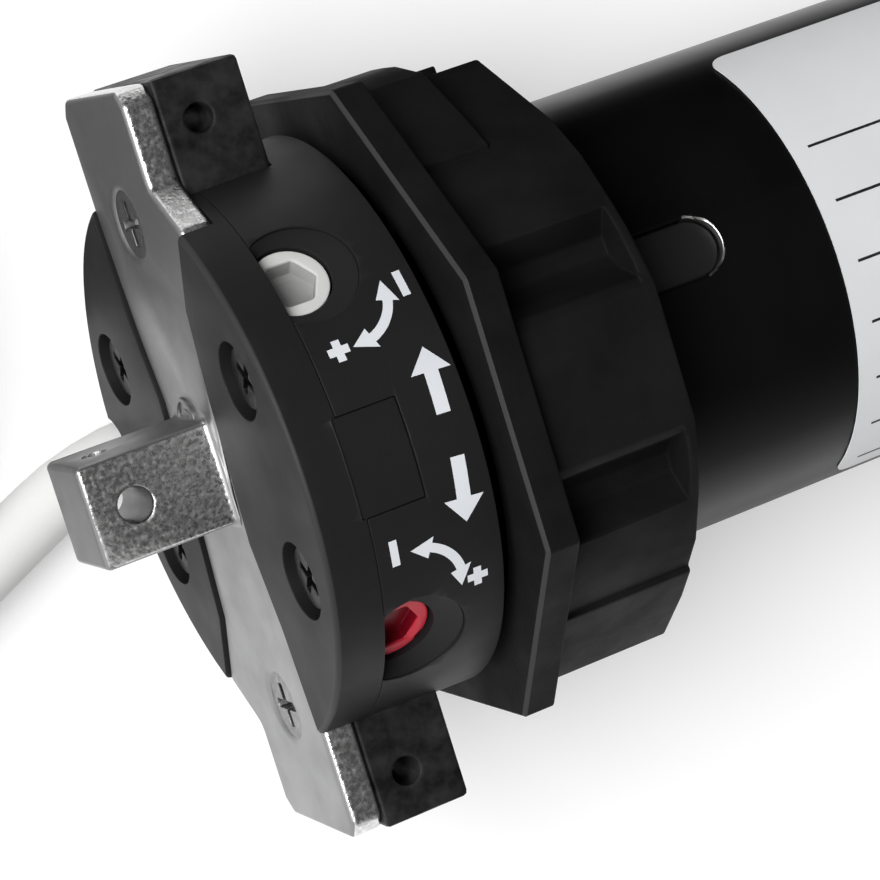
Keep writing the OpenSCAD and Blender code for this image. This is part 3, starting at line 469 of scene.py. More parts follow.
def moulded(name, dark, light, rough_low, rough_high, grain=GRAIN_SCALE, cloud=CLOUD_SCALE, depth=0.03,
            specular=0.35, painted_light=None):
    """Moulded plastic between two close colours, with grain and uneven sheen, and a colour of painted light where
    it is masked: a lighter one is a painted highlight, a darker one is painted shade.
    """
    finish = Finish(name, dark, rough_low, specular=specular)
    tree = finish.tree
    skin = finish.use(MOULDING, grain_scale=grain, cloud_scale=cloud)
    patches = reckon(tree, "MULTIPLY", skin.outputs["Patches"], PATCH_SHARE)
    amount = reckon(tree, "ADD", patches, reckon(tree, "MULTIPLY", skin.outputs["Specks"], SPECK_SHARE))
    colour = mixed(tree, amount, dark, light)
    # Masked faces take the colour of painted light: a painted highlight where it is lighter, painted shade where
    # it is darker.
    if painted_light:
        colour = mixed(tree, finish.read("painted_light"), colour, painted_light)
    finish.link(colour, "Base Color")
    finish.link(between(tree, skin.outputs["Patches"], rough_high, rough_low), "Roughness")
    finish.bump(skin.outputs["Height"], depth, PLASTIC_RELIEF)
    return finish.material


def metal(name, dark, light, rough_low, rough_high):
    """Metal with a fine crystal skin."""
    finish = Finish(name, dark, rough_low, metallic=1.0)
    tree = finish.tree
    skin = finish.use(CASTING, crystal_scale=CRYSTAL_SCALE, pit_scale=PIT_SCALE)
    finish.link(mixed(tree, skin.outputs["Crystals"], dark, light), "Base Color")
    finish.link(between(tree, skin.outputs["Pits"], rough_high, rough_low), "Roughness")
    finish.bump(skin.outputs["Height"], METAL_DEPTH, METAL_RELIEF)
    return finish.material


def arm_metal(name):
    """Cast metal whose front is smooth and satin, and whose masked sides are rough and sparkling."""
    finish = Finish(name, (0.32, 0.32, 0.32), 0.42, metallic=1.0)
    tree = finish.tree
    rough_skin = finish.use(CASTING, crystal_scale=2600.0, pit_scale=1800.0)
    soft_skin = finish.use(MOULDING, grain_scale=2200.0, cloud_scale=150.0)
    cast = finish.read("cast")
    satin = mixed(tree, soft_skin.outputs["Patches"], SATIN_DARK, SATIN_LIGHT)
    grains = mixed(tree, rough_skin.outputs["Crystals"], GRAIN_DARK, GRAIN_LIGHT)
    grains = mixed(tree, soft_skin.outputs["Specks"], grains, GRAIN_SPARK)
    finish.link(mixed(tree, cast, satin, grains), "Base Color")
    satin_rough = between(tree, soft_skin.outputs["Patches"], *SATIN_ROUGH)
    grain_rough = between(tree, rough_skin.outputs["Pits"], *GRAIN_ROUGH)
    finish.link(between(tree, cast, satin_rough, grain_rough), "Roughness")
    fine = reckon(tree, "MULTIPLY", soft_skin.outputs["Height"], SATIN_HEIGHT)
    grit = reckon(tree, "MULTIPLY", rough_skin.outputs["Height"], GRIT_HEIGHT)
    finish.bump(between(tree, cast, fine, grit), CAST_DEPTH, CAST_RELIEF)
    return finish.material


def tube_paint(name):
    """Smooth black paint, with bare metal where a masked edge was cut through it."""
    finish = Finish(name, (0.004, 0.004, 0.004), 0.3, specular=0.15)
    tree = finish.tree
    skin = finish.use(MOULDING, grain_scale=GRAIN_SCALE, cloud_scale=70.0)
    bare = finish.read("bare")
    paint = mixed(tree, skin.outputs["Patches"], PAINT_DARK, PAINT_LIGHT)
    finish.link(mixed(tree, bare, paint, BARE_METAL), "Base Color")
    finish.link(bare, "Metallic")
    finish.link(between(tree, skin.outputs["Patches"], *PAINT_ROUGH), "Roughness")
    finish.bump(skin.outputs["Height"], PAINT_DEPTH, THIN_RELIEF)
    return finish.material


def core_skin(name):
    """Thin insulation, in each core's own colour."""
    finish = Finish(name, (0.3, 0.2, 0.1), 0.4)
    skin = finish.use(MOULDING, grain_scale=GRAIN_SCALE, cloud_scale=300.0)
    finish.link(finish.read("core_colour", "Color"), "Base Color")
    finish.link(between(finish.tree, skin.outputs["Patches"], *CORE_ROUGH), "Roughness")
    finish.bump(skin.outputs["Height"], CORE_DEPTH, THIN_RELIEF)
    return finish.material


FINISHES = {
    # head_black and crown_black take a lighter masked colour: a painted highlight on the slanting faces of their
    # front rims.
    "head_black": moulded("head_black", (0.0075, 0.0075, 0.0080), (0.0150, 0.0150, 0.0158), 0.44, 0.58,
                          cloud=70.0, specular=0.22, painted_light=(0.026, 0.026, 0.028)),
    "crown_black": moulded("crown_black", (0.0045, 0.0045, 0.0048), (0.0120, 0.0120, 0.0125), 0.50, 0.66,
                           grain=1500.0, cloud=130.0, depth=0.05, specular=0.09, painted_light=(0.034, 0.034, 0.036)),
    "tube_black": tube_paint("tube_black"),
    "inner_black": moulded("inner_black", (0.006, 0.006, 0.0065), (0.012, 0.012, 0.0125), 0.45, 0.55),
    "lug_black": moulded("lug_black", (0.0020, 0.0020, 0.0021), (0.034, 0.034, 0.035), 0.36, 0.62,
                         grain=1100.0, cloud=480.0, depth=0.08, specular=0.2),
    "screw_black": metal("screw_black", (0.030, 0.030, 0.031), (0.055, 0.055, 0.056), 0.35, 0.5),
    "cast_aluminium": arm_metal("cast_aluminium"),
    "zinc_screw": metal("zinc_screw", (0.34, 0.34, 0.34), (0.46, 0.46, 0.45), 0.26, 0.40),
    # white_plastic and red_plastic take a darker masked colour: painted shade inside the cups' hexagon sockets.
    "white_plastic": moulded("white_plastic", (0.58, 0.58, 0.57), (0.64, 0.64, 0.63), 0.25, 0.35,
                             painted_light=(0.34, 0.34, 0.335)),
    "red_plastic": moulded("red_plastic", (0.52, 0.022, 0.042), (0.60, 0.035, 0.06), 0.25, 0.35,
                           painted_light=(0.20, 0.004, 0.012)),
    "grey_plastic": moulded("grey_plastic", (0.42, 0.43, 0.44), (0.52, 0.53, 0.54), 0.4, 0.5),
    "spindle_brass": metal("spindle_brass", (0.60, 0.44, 0.18), (0.72, 0.56, 0.26), 0.25, 0.4),
    "label_silver": moulded("label_silver", (0.64, 0.65, 0.66), (0.69, 0.70, 0.71), 0.34, 0.44, depth=0.004),
    "copper": metal("copper", (0.60, 0.28, 0.12), (0.72, 0.40, 0.22), 0.3, 0.45),
    "capacitor_grey": moulded("capacitor_grey", (0.62, 0.62, 0.60), (0.72, 0.72, 0.70), 0.4, 0.5),
    "die_cast": metal("die_cast", (0.48, 0.49, 0.50), (0.60, 0.61, 0.62), 0.38, 0.55),
    "steel": metal("steel", (0.40, 0.41, 0.42), (0.54, 0.55, 0.56), 0.28, 0.42),
    "brake_lining": moulded("brake_lining", (0.10, 0.07, 0.05), (0.18, 0.13, 0.10), 0.7, 0.85),
    "gear_plastic": moulded("gear_plastic", (0.70, 0.65, 0.54), (0.80, 0.76, 0.66), 0.35, 0.45),
    "bush_bronze": metal("bush_bronze", (0.50, 0.34, 0.18), (0.62, 0.45, 0.25), 0.35, 0.5),
    "cable_white": moulded("cable_white", (0.76, 0.76, 0.75), (0.80, 0.80, 0.79), 0.38, 0.5,
                           grain=1800.0, depth=0.015),
    "tie_black": moulded("tie_black", (0.010, 0.010, 0.010), (0.020, 0.020, 0.020), 0.75, 0.9,
                         grain=3000.0, depth=0.1),
    "core_colours": core_skin("core_colours"),
    "ferrule_tin": metal("ferrule_tin", (0.62, 0.62, 0.61), (0.72, 0.72, 0.71), 0.25, 0.35),
}
SCREW_GREY = metal("screw_grey", (0.19, 0.19, 0.19), (0.27, 0.27, 0.27), 0.26, 0.40)
PRINT_WHITE = moulded("print_white", (0.64, 0.66, 0.69), (0.72, 0.74, 0.77), 0.5, 0.6, depth=0.005)
PRINT_BLACK = moulded("print_black", (0.008, 0.008, 0.009), (0.014, 0.014, 0.015), 0.5, 0.6, depth=0.005)


# Cable: it leaves the plug, bends, runs over the table and ends in a coil of two layers

RUN = [(9, 0), (5.5, 0), (2, 0), (-1, -0.2), (-4, -0.7), (-7, -1.5), (-10, -2.7), (-15, -4.95),
       (-20, -7.2), (-25, -9.45), (-30, -11.7)]
RUN_CLIMB = 5
COIL_GAP = 0.2
CABLE_Z = TABLE_Z + CABLE_R + TABLE_GAP
COIL_Z = TABLE_Z + TABLE_GAP + STRAP_T + COIL_GAP + CABLE_R
COIL_AT = (-68.0, 27.8)
COIL_START = -66.0
COIL_R = 51.5
COIL_STEP = 7.5
COIL_TURNS = 3
COIL_OUT = 2.5
COIL_RINGS = 24
CABLE_FACETS = 6


def eased(share):
    share = max(0.0, min(1.0, share))
    return share * share * (3 - 2 * share)


def coil_angle(ring):
    return math.radians(COIL_START - 360 * ring / COIL_RINGS)


def coil_heading(ring):
    return Vector((math.sin(coil_angle(ring)), -math.cos(coil_angle(ring)), 0))


def coil_point(ring):
    """A place on the coil: it winds inwards, climbs to its upper layer and winds outwards."""
    middle = COIL_TURNS * COIL_RINGS
    angle = coil_angle(ring)
    radius = COIL_R - COIL_STEP * COIL_TURNS + COIL_STEP * abs(ring - middle) / COIL_RINGS
    height = COIL_Z + COIL_STEP * eased(2 * (ring - middle) / COIL_RINGS + 0.5)
    return Vector((COIL_AT[0] + radius * math.cos(angle), COIL_AT[1] + radius * math.sin(angle), height))


def cable_route():
    last = len(RUN) - 1
    points = [
        Vector((x, y, CABLE_Z + (COIL_Z - CABLE_Z) * eased((i - RUN_CLIMB) / (last - RUN_CLIMB))))
        for i, (x, y) in enumerate(RUN)
    ]
    lead = coil_heading(0) * 2 * CABLE_R
    points += [coil_point(0) - 2 * lead, coil_point(0) - lead]
    rings = int((COIL_TURNS + COIL_OUT) * COIL_RINGS)
    points += [coil_point(ring / 2) for ring in range(2 * rings + 1)]
    points.append(coil_point(rings) + coil_heading(rings) * 2 * CABLE_R)
    return [p * MM for p in points]


def spline_piece(name, points, radius):
    """A round lead along points, as a curve with one open spline."""
    curve = bpy.data.curves.new(name, "CURVE")
    curve.dimensions = "3D"
    curve.bevel_depth = radius * MM
    curve.bevel_resolution = CABLE_FACETS
    curve.use_fill_caps = True
    spline = curve.splines.new("POLY")
    spline.points.add(len(points) - 1)
    for point, at in zip(spline.points, points):
        point.co = (*at, 1.0)
    spline.use_smooth = True
    return in_scene(name, curve)


route = cable_route()
cable_length = sum((b - a).length for a, b in zip(route, route[1:]))
cable = spline_piece("cable", route, CABLE_R)
settle(cable, "frame", "cable_white", FINISHES["cable_white"], "cable_run", "cable_coil")


# Arm: its pin, a round mark on the pin and a small ring beside it

ARM_EDGE, ARM_FINE_EDGE = 0.6, 0.42
ARM_HOLE_FROM, ARM_HOLE_TO, ARM_HOLE_HALF = 18.0, 29.5, 6.5
PIN_ROOT = -0.5
PIN_HALF = 5.0
PIN_HOLE_X, PIN_HOLE_R, PIN_HOLE_ENDS = -8.9, 2.5, 5.5
MARK_AT, MARK_R, MARK_DEPTH = (-9.9, PIN_HALF, 0.2), 1.25, 0.2
BOSS_X, BOSS_AT = 0.5, (4.5, -0.5)
BOSS_R, BOSS_DEPTH, BOSS_EDGE = 2.6, 1.6, 0.08
BOSS_STEPS = ((0.42, 0.25), (0.75, -0.15))
BOSS_ROOM, BOSS_OVERLAP = 0.05, 0.1
SIDE_FACING = 0.4


def off_the_holes(at):
    """True away from the arm's screw holes and the pin's cross hole."""
    if at.x < PIN_ROOT:
        return math.hypot(at.x - PIN_HOLE_X, at.y) > PIN_HOLE_R or abs(at.z) > PIN_HOLE_ENDS
    return abs(at.y) > ARM_HOLE_TO or abs(at.y) < ARM_HOLE_FROM or abs(at.z) > ARM_HOLE_HALF


def rough_side(at, normal):
    """The arm's edges and the pin's two drilled sides keep the skin of the casting, and the ring is smooth."""
    from_boss = math.hypot(at.y - BOSS_AT[0], at.z - BOSS_AT[1])
    if from_boss < BOSS_R + BOSS_ROOM and at.y > PIN_HALF - BOSS_OVERLAP:
        return False
    if at.x < PIN_ROOT:
        return abs(normal.z) > FACING
    return abs(normal.x) < SIDE_FACING


def pin_boss():
    """A low round boss with a groove, of the arm's metal."""
    piece = plain_form(
        bpy.ops.mesh.primitive_cylinder_add, vertices=ROUND_SIDES, radius=BOSS_R * MM, depth=BOSS_DEPTH * MM,
        location=(BOSS_X * MM, BOSS_AT[0] * MM, BOSS_AT[1] * MM), rotation=(0, QUARTER_TURN, 0),
    )
    bpy.ops.object.transform_apply()
    in_edit_mode(piece)
    pick(piece, "FACE", lambda middle, normal: normal.x < -FACING)
    for margin, step in BOSS_STEPS:
        bpy.ops.mesh.inset(thickness=margin * MM)
        pull_out(step, 0, 0)
    out_of_edit_mode()
    round_edges(piece, BOSS_EDGE)
    smooth(piece)
    piece.data.materials.append(FINISHES["cast_aluminium"])
    return piece


arm = dressed_copy("bracket_arm", "arm", "frame", "cast_aluminium", ARM_FINE_EDGE,
                   first=[(ARM_EDGE, FINE_STEPS, off_the_holes)])
sunk_mark(arm, MARK_AT, (QUARTER_TURN, 0, 0), MARK_R, MARK_DEPTH)
arm = joined_pieces("arm", [arm, pin_boss()])
mark_faces(arm, "cast", rough_side)


# Other pieces from the solids, with softened edges

SCREW_SINK = 0.3
CUP_X = 6.4
WHITE_ANGLE = math.radians(38.6)
RED_ANGLE = math.radians(-41.0)
SOCKET_R, SOCKET_LIP, SOCKET_DEPTH = 2.7, 0.3, 4.0
CORNER_STEEP, CORNER_SHALLOW = -0.95, -0.3
COVER_EDGE, CROWN_EDGE, TUBE_EDGE = 0.5, 0.35, 0.24
COVER_FRONT, COVER_OUT = -0.35, 26.8
COVER_CORNER, COVER_CORNER_R = 0.15, 26.5
CROWN_FRONT, CROWN_CORNER, CROWN_OUT, CROWN_BORE = 18.2, 18.6, 29.0, 24.0
TUBE_FRONT, TUBE_OUT = 48.0, 22.0
SLOT_FROM, SLOT_TO = 44.8, 48.5
WALL_IN, WALL_OUT, WALL_FACING = 21.2, 22.49, 0.97


def off_axis(at):
    return math.hypot(at.y, at.z)


def way_out(angle):
    """The way out from the axis, at an angle from straight up."""
    return Vector((0, math.sin(angle), math.cos(angle)))


def front_rim(back, inner):
    """A test for what lies in front of a place and outside a radius."""
    return lambda at: at.x < back and off_axis(at) > inner


def rim_corner(back, inner):
    """A test for the slanting faces of a softened front rim, which take a lighter colour as a painted highlight
    along the edge.
    """
    at_the_rim = front_rim(back, inner)
    return lambda at, normal: at_the_rim(at) and CORNER_STEEP < normal.x < CORNER_SHALLOW


def socket_of(cup, angle):
    """A test for the walls and the floor of a cup's hexagon, which take a darker colour as painted shade in the
    recess.
    """
    axis = way_out(angle)
    top = max((v.co / MM).dot(axis) for v in cup.data.vertices)

    def in_the_socket(at, normal):
        height = at.dot(axis)
        aside = (at - Vector((CUP_X, 0, 0)) - axis * height).length
        return aside < SOCKET_R and top - SOCKET_DEPTH < height < top - SOCKET_LIP

    return in_the_socket


def slot_wall(at, normal):
    """The cut wall at the closed end of the tube's slot."""
    radial = abs(normal.y * at.y + normal.z * at.z)
    return (SLOT_FROM < at.x < SLOT_TO and WALL_IN < off_axis(at) < WALL_OUT
            and radial < WALL_FACING * off_axis(at))


dressed_copy("lug_blocks", "lugs", "frame", "lug_black", 0.45)
screws = dressed_copy("arm_screws", "arm_screw_pair", "frame", "zinc_screw", 0.12, finish=SCREW_GREY)
screws.data.transform(Matrix.Translation((SCREW_SINK * MM, 0, 0)))
cover = dressed_copy("face_cover", "cover", "frame", "head_black", 0.14,
                     first=[(COVER_EDGE, EDGE_STEPS, front_rim(COVER_FRONT, COVER_OUT))])
# The cover's rim edge gets a painted highlight: a lighter colour on its slanting faces.
mark_faces(cover, "painted_light", rim_corner(COVER_CORNER, COVER_CORNER_R))
dressed_copy("head_housing", "housing", "frame", "head_black", 0.14)
dressed_copy("face_screws", "face_screw_set", "frame", "screw_black", 0.15)
white_cup = dressed_copy("adjuster_white", "white_cup", "white_adjuster", "white_plastic", 0.25)
red_cup = dressed_copy("adjuster_red", "red_cup", "red_adjuster", "red_plastic", 0.25)
# The cups' hexagon sockets are darkened as painted shade.
for cup, angle in ((white_cup, WHITE_ANGLE), (red_cup, RED_ANGLE)):
    mark_faces(cup, "painted_light", socket_of(cup, angle))
crown = dressed_copy("crown_ring", "crown_body", "crown", "crown_black", 0.3,
                     where=lambda at: off_axis(at) > CROWN_BORE,
                     first=[(CROWN_EDGE, EDGE_STEPS, front_rim(CROWN_FRONT, CROWN_OUT))])
# The crown's flange edge gets a painted highlight: a lighter colour on its slanting faces.
mark_faces(crown, "painted_light", rim_corner(CROWN_CORNER, CROWN_OUT))
tube = dressed_copy("motor_tube", "tube", "frame", "tube_black", 0.15,
                    first=[(TUBE_EDGE, FINE_STEPS, front_rim(TUBE_FRONT, TUBE_OUT))])
mark_faces(tube, "bare", slot_wall)
for node, name, body, slot, width in (
    ("limit_sleeve", "sleeve", "frame", "inner_black", 0.15),
    ("end_cap", "cap", "frame", "crown_black", 0.5),
    ("drive_wheel", "wheel", "output", "crown_black", 0.3),
    ("wheel_washer", "washer", "output", "zinc_screw", 0.2),
    ("wheel_screw", "screw_in_shaft", "output", "zinc_screw", 0.25),
    ("output_carrier", "output_shaft", "output", "steel", 0.2),
    ("cable_plug", "plug", "frame", "head_black", 0.3),
    ("tube_screws", "tube_screw_set", "frame", "zinc_screw", 0.2),
):
    dressed_copy(node, name, body, slot, width)


# Shallow dishes of the housing round the two cups

SIGN_ROLL_R = 27.3
CUP_R, CUP_ROOM = 3.6, 0.15
DISH_R = 5.15
DISH_BACK = 0.9
DISH_SUNK = 0.3
DISH_SKIRT = 1.2
DISH_WALL = 0.15
DISH_SIDES = 64
WHITE_DISH, RED_DISH = 0.5, 1.3


def dish(name, angle, depth):
    """A sloping ring from the rim's skin down to a cup."""
    ring = plain_form(
        bpy.ops.mesh.primitive_circle_add, vertices=DISH_SIDES, radius=DISH_R * MM, location=(0, 0, 0)
    )
    ring.name = name
    in_edit_mode(ring)
    bpy.ops.mesh.select_all(action="SELECT")
    pull_out(-DISH_BACK, 0, -depth)
    inner = (CUP_R + CUP_ROOM) / DISH_R
    bpy.ops.transform.resize(value=(inner, inner, 1.0), center_override=(-DISH_BACK * MM, 0, 0))
    pull_out(0, 0, -DISH_SKIRT)
    out_of_edit_mode()
    for vert in ring.data.vertices:
        aside = vert.co.y / MM
        up = math.sqrt(SIGN_ROLL_R ** 2 - aside ** 2) - DISH_SUNK + vert.co.z / MM
        vert.co = Vector((
            CUP_X + DISH_BACK + vert.co.x / MM,
            up * math.sin(angle) + aside * math.cos(angle),
            up * math.cos(angle) - aside * math.sin(angle),
        )) * MM
    ring.data.update()
    outward = way_out(angle)
    slope = max(ring.data.polygons, key=lambda f: abs(f.normal.dot(outward)))
    if slope.normal.dot(outward) < 0:
        turn_faces_over(ring)
    thicken(ring, DISH_WALL, INNER_SIDE)
    smooth(ring)
    return ring


dishes = joined_pieces("cup_dishes", [
    dish("white_dish", WHITE_ANGLE, WHITE_DISH), dish("red_dish", RED_ANGLE, RED_DISH),
])
settle(dishes, "frame", "head_black", FINISHES["head_black"])


# Signs printed on the head's rim, as distance behind the arm and way round the rim

ARROW_HALF = 0.68
ARROW_HEAD_HALF = 1.92
TURN_HALF = 0.45
TURN_HEAD = 2.0
TURN_HEAD_HALF = 1.05
TURN_STEPS = 12
BAR_HALF = 0.38
CROSS_HALF = 1.0
SIGN_REACH = 16.0
SIGN_LIFT, SIGN_SKIN = 0.015, 0.02
STRIP = 0.8


def arrow(base, tip, neck):
    """A straight arrow from its base to its tip; neck is the part of it before the head."""
    base, tip = Vector(base), Vector(tip)
    ahead = (tip - base).normalized()
    aside = Vector((ahead.y, -ahead.x))
    throat = base + ahead * neck
    return [base + aside * ARROW_HALF, throat + aside * ARROW_HALF, throat + aside * ARROW_HEAD_HALF, tip,
            throat - aside * ARROW_HEAD_HALF, throat - aside * ARROW_HALF, base - aside * ARROW_HALF]


def bar(start, end):
    """A minus sign."""
    start, end = Vector(start), Vector(end)
    ahead = (end - start).normalized() * BAR_HALF
    aside = Vector((ahead.y, -ahead.x))
    return [start + aside, end + aside, end - aside, start - aside]


def cross(middle):
    """A plus sign."""
    middle = Vector(middle)
    corners = []
    for quarter in range(4):
        angle = quarter * QUARTER_TURN
        ahead = Vector((math.cos(angle), math.sin(angle)))
        aside = Vector((-ahead.y, ahead.x))
        corners += [middle + ahead * CROSS_HALF - aside * BAR_HALF, middle + ahead * CROSS_HALF + aside * BAR_HALF,
                    middle + ahead * BAR_HALF + aside * BAR_HALF]
    return corners


def turn_arrow(tip, middle, other_tip):
    """A bent arrow with a head at both ends, through three points."""
    a, b, c = Vector(tip), Vector(middle), Vector(other_tip)
    side = 2 * (a.x * (b.y - c.y) + b.x * (c.y - a.y) + c.x * (a.y - b.y))
    centre = Vector((
        (a.dot(a) * (b.y - c.y) + b.dot(b) * (c.y - a.y) + c.dot(c) * (a.y - b.y)) / side,
        (a.dot(a) * (c.x - b.x) + b.dot(b) * (a.x - c.x) + c.dot(c) * (b.x - a.x)) / side,
    ))
    radius = (a - centre).length
    first, through, last = (math.atan2(p.y - centre.y, p.x - centre.x) for p in (a, b, c))
    way = math.copysign(1, math.sin(through - first))
    sweep = ((last - first) * way) % (2 * math.pi)
    head = TURN_HEAD / radius

    def at(share, offset):
        angle = first + way * share
        return centre + Vector((math.cos(angle), math.sin(angle))) * (radius + offset)

    steps = [head + (sweep - 2 * head) * i / TURN_STEPS for i in range(TURN_STEPS + 1)]
    return ([at(0, 0), at(head, TURN_HEAD_HALF)] + [at(s, TURN_HALF) for s in steps]
            + [at(sweep - head, TURN_HEAD_HALF), at(sweep, 0), at(sweep - head, -TURN_HEAD_HALF)]
            + [at(s, -TURN_HALF) for s in reversed(steps)] + [at(head, -TURN_HEAD_HALF)])


def rim_radius(along):
    growth = (HEAD_BACK_R - HEAD_FACE_R) * (along - SEAM_X) / (HEAD_BACK_X - SEAM_X)
    return HEAD_FACE_R + growth + SIGN_LIFT


signs = flat_piece("rim_signs", [
    arrow((13.93, 1.81), (14.26, 7.86), 3.8),
    arrow((13.95, -2.17), (13.43, -8.30), 3.85),
    bar((15.0, 12.66), (15.0, 15.17)),
    turn_arrow((13.36, 14.84), (12.59, 11.79), (8.41, 9.96)),
    cross((7.05, 10.07)),
    bar((6.2, -7.49), (6.2, -10.04)),
    turn_arrow((7.72, -9.13), (11.21, -10.60), (12.20, -14.64)),
    cross((13.81, -14.25)),
])
wrap_round(signs, rim_radius, SIGN_ROLL_R, -SIGN_REACH, SIGN_REACH, STRIP, SIGN_SKIN)
settle(signs, "frame", "white_plastic", PRINT_WHITE)


# Label with its plain rules, which are narrow enough to be rolled in one strip

LABEL_FROM, LABEL_TO = 57.8, 167.8
LABEL_LOW, LABEL_HIGH = math.radians(-65.7) * LABEL_R, math.radians(70.7) * LABEL_R
LABEL_CORNER = 2.0
CORNER_STEPS = 6
RULE_FROM, RULE_TO = 59.7, 165.9
RULE_HALF = 0.14
RULE_ANGLES = (31.5, 16.7, 1.5, -13.8, -29.0, -44.0, -59.0)
RULE_LIFT, RULE_SKIN = 0.004, 0.012
RULE_R = LABEL_R + LABEL_SKIN + RULE_LIFT


def rounded_sheet(left, right, low, high, corner):
    outline = []
    for across, up, start in ((right, high, 0), (left, high, 90), (left, low, 180), (right, low, 270)):
        middle = (across - math.copysign(corner, across - (left + right) / 2),
                  up - math.copysign(corner, up - (low + high) / 2))
        for step in range(CORNER_STEPS + 1):
            angle = math.radians(start + 90 * step / CORNER_STEPS)
            outline.append((middle[0] + corner * math.cos(angle), middle[1] + corner * math.sin(angle)))
    return outline


def rule(angle):
    """One straight line along the label."""
    way = math.radians(angle) * RULE_R
    return [(RULE_FROM, way - RULE_HALF), (RULE_TO, way - RULE_HALF),
            (RULE_TO, way + RULE_HALF), (RULE_FROM, way + RULE_HALF)]


label = flat_piece("label", [rounded_sheet(LABEL_FROM, LABEL_TO, LABEL_LOW, LABEL_HIGH, LABEL_CORNER)])
wrap_round(label, lambda along: LABEL_R, LABEL_R, LABEL_LOW, LABEL_HIGH, STRIP, LABEL_SKIN)
smooth(label)
settle(label, "frame", "label_silver", FINISHES["label_silver"], "rating_label")

rules = flat_piece("label_rules", [rule(angle) for angle in RULE_ANGLES])
wrap_round(rules, lambda along: RULE_R, RULE_R, LABEL_LOW, LABEL_HIGH, LABEL_HIGH - LABEL_LOW, RULE_SKIN)
settle(rules, "frame", "head_black", PRINT_BLACK)


# Coil's straps, and the cable's cores with their ferrules

STRAP_W = 9.0
STRAP_ROOM = 0.4
STRAP_CORNER, STRAP_BENDS = 2.8, 5
STRAP_LAP, STRAP_LAP_T = 9.0, 0.6
STRAP_EDGE, STRAP_SHARP = 0.18, 40.0
STRAP_ANGLES = (40, 220)
TOP_WITHIN = 0.1
CORE_R, CORE_LEN, CORE_EDGE = 1.0, 12.0, 0.15
FERRULE_R, FERRULE_LEN, FERRULE_EDGE = 0.75, 8.0, 0.2
LEAD_SIDES = 24
CORE_GAP = 0.2
CORE_SPREAD = CORE_R + CORE_GAP
CORE_OFFSETS = ((1, 1), (-1, 1), (-1, -1), (1, -1))
CORE_SHADES = ((0.16, 0.065, 0.03), (0.012, 0.012, 0.012), (0.03, 0.12, 0.42), (0.06, 0.30, 0.06))
STRIPED_CORE, STRIPE_FACING = 3, 0.55
CORE_STRIPE = (0.72, 0.58, 0.05)


def strap():
    """One band round the coil's two layers, with its lap on top."""
    inside = COIL_R - COIL_STEP * COIL_TURNS - CABLE_R - STRAP_ROOM
    outside = COIL_R + CABLE_R + STRAP_ROOM
    low, high = TABLE_Z + TABLE_GAP, COIL_Z + COIL_STEP + CABLE_R + STRAP_ROOM + STRAP_T
    band = plain_form(bpy.ops.mesh.primitive_cube_add, size=1.0)
    size = Vector((outside - inside + 2 * STRAP_T, STRAP_W, high - low)) * MM
    band.data.transform(Matrix.Diagonal((*size, 1.0)))
    in_edit_mode(band)
    pick(band, "FACE", lambda middle, normal: abs(normal.y) > FACING)
    bpy.ops.mesh.delete(type="FACE")
    pick(band, "EDGE", lambda middle, edge: abs(edge.verts[0].co.y - edge.verts[1].co.y) > STRAP_W / 2 * MM)
    bpy.ops.mesh.bevel(offset=STRAP_CORNER * MM, segments=STRAP_BENDS, affect="EDGES", clamp_overlap=False)
    for place in (-STRAP_LAP / 2, STRAP_LAP / 2):
        bpy.ops.mesh.select_all(action="SELECT")
        bpy.ops.mesh.bisect(plane_co=(place * MM, 0, 0), plane_no=(1, 0, 0))
    out_of_edit_mode()
    thicken(band, STRAP_T, INNER_SIDE, even=True)
    in_edit_mode(band)
    pick(band, "FACE", lambda middle, normal: normal.z > FACING and middle.z > size.z / 2 - TOP_WITHIN * MM
         and abs(middle.x) < STRAP_LAP / 2 * MM)
    pull_out(0, 0, STRAP_LAP_T)
    out_of_edit_mode()
    round_edges(band, STRAP_EDGE, angle=STRAP_SHARP)
    smooth(band)
    band.data.transform(Matrix.Translation(Vector(((inside + outside) / 2, 0, (low + high) / 2)) * MM))
    return band


straps = [strap()]
straps.append(in_scene("strap_twin", straps[0].data.copy()))
for piece, angle in zip(straps, STRAP_ANGLES):
    piece.data.transform(Matrix.Translation((COIL_AT[0] * MM, COIL_AT[1] * MM, 0))
                         @ Matrix.Rotation(math.radians(angle), 4, "Z"))
straps = joined_pieces("coil_straps", straps)
settle(straps, "frame", "tie_black", FINISHES["tie_black"], "coil_ties")

core_way = coil_heading((COIL_TURNS + COIL_OUT) * COIL_RINGS)
core_side = Vector((-core_way.y, core_way.x, 0))
core_turn = core_way.to_track_quat("Z", "Y").to_matrix().to_4x4()


def lead_set(name, radius, length, start, edge):
    """Four straight leads side by side, going on from the cable's end."""
    leads = []
    for across, up in CORE_OFFSETS:
        lead = plain_form(
            bpy.ops.mesh.primitive_cylinder_add, vertices=LEAD_SIDES, radius=radius * MM, depth=length * MM
        )
        round_edges(lead, edge)
        smooth(lead)
        middle = route[-1] + (core_way * (start + length / 2) + core_side * across * CORE_SPREAD
                              + Vector((0, 0, up * CORE_SPREAD))) * MM
        lead.data.transform(Matrix.Translation(middle) @ core_turn)
        leads.append(lead)
    return joined_pieces(name, leads)


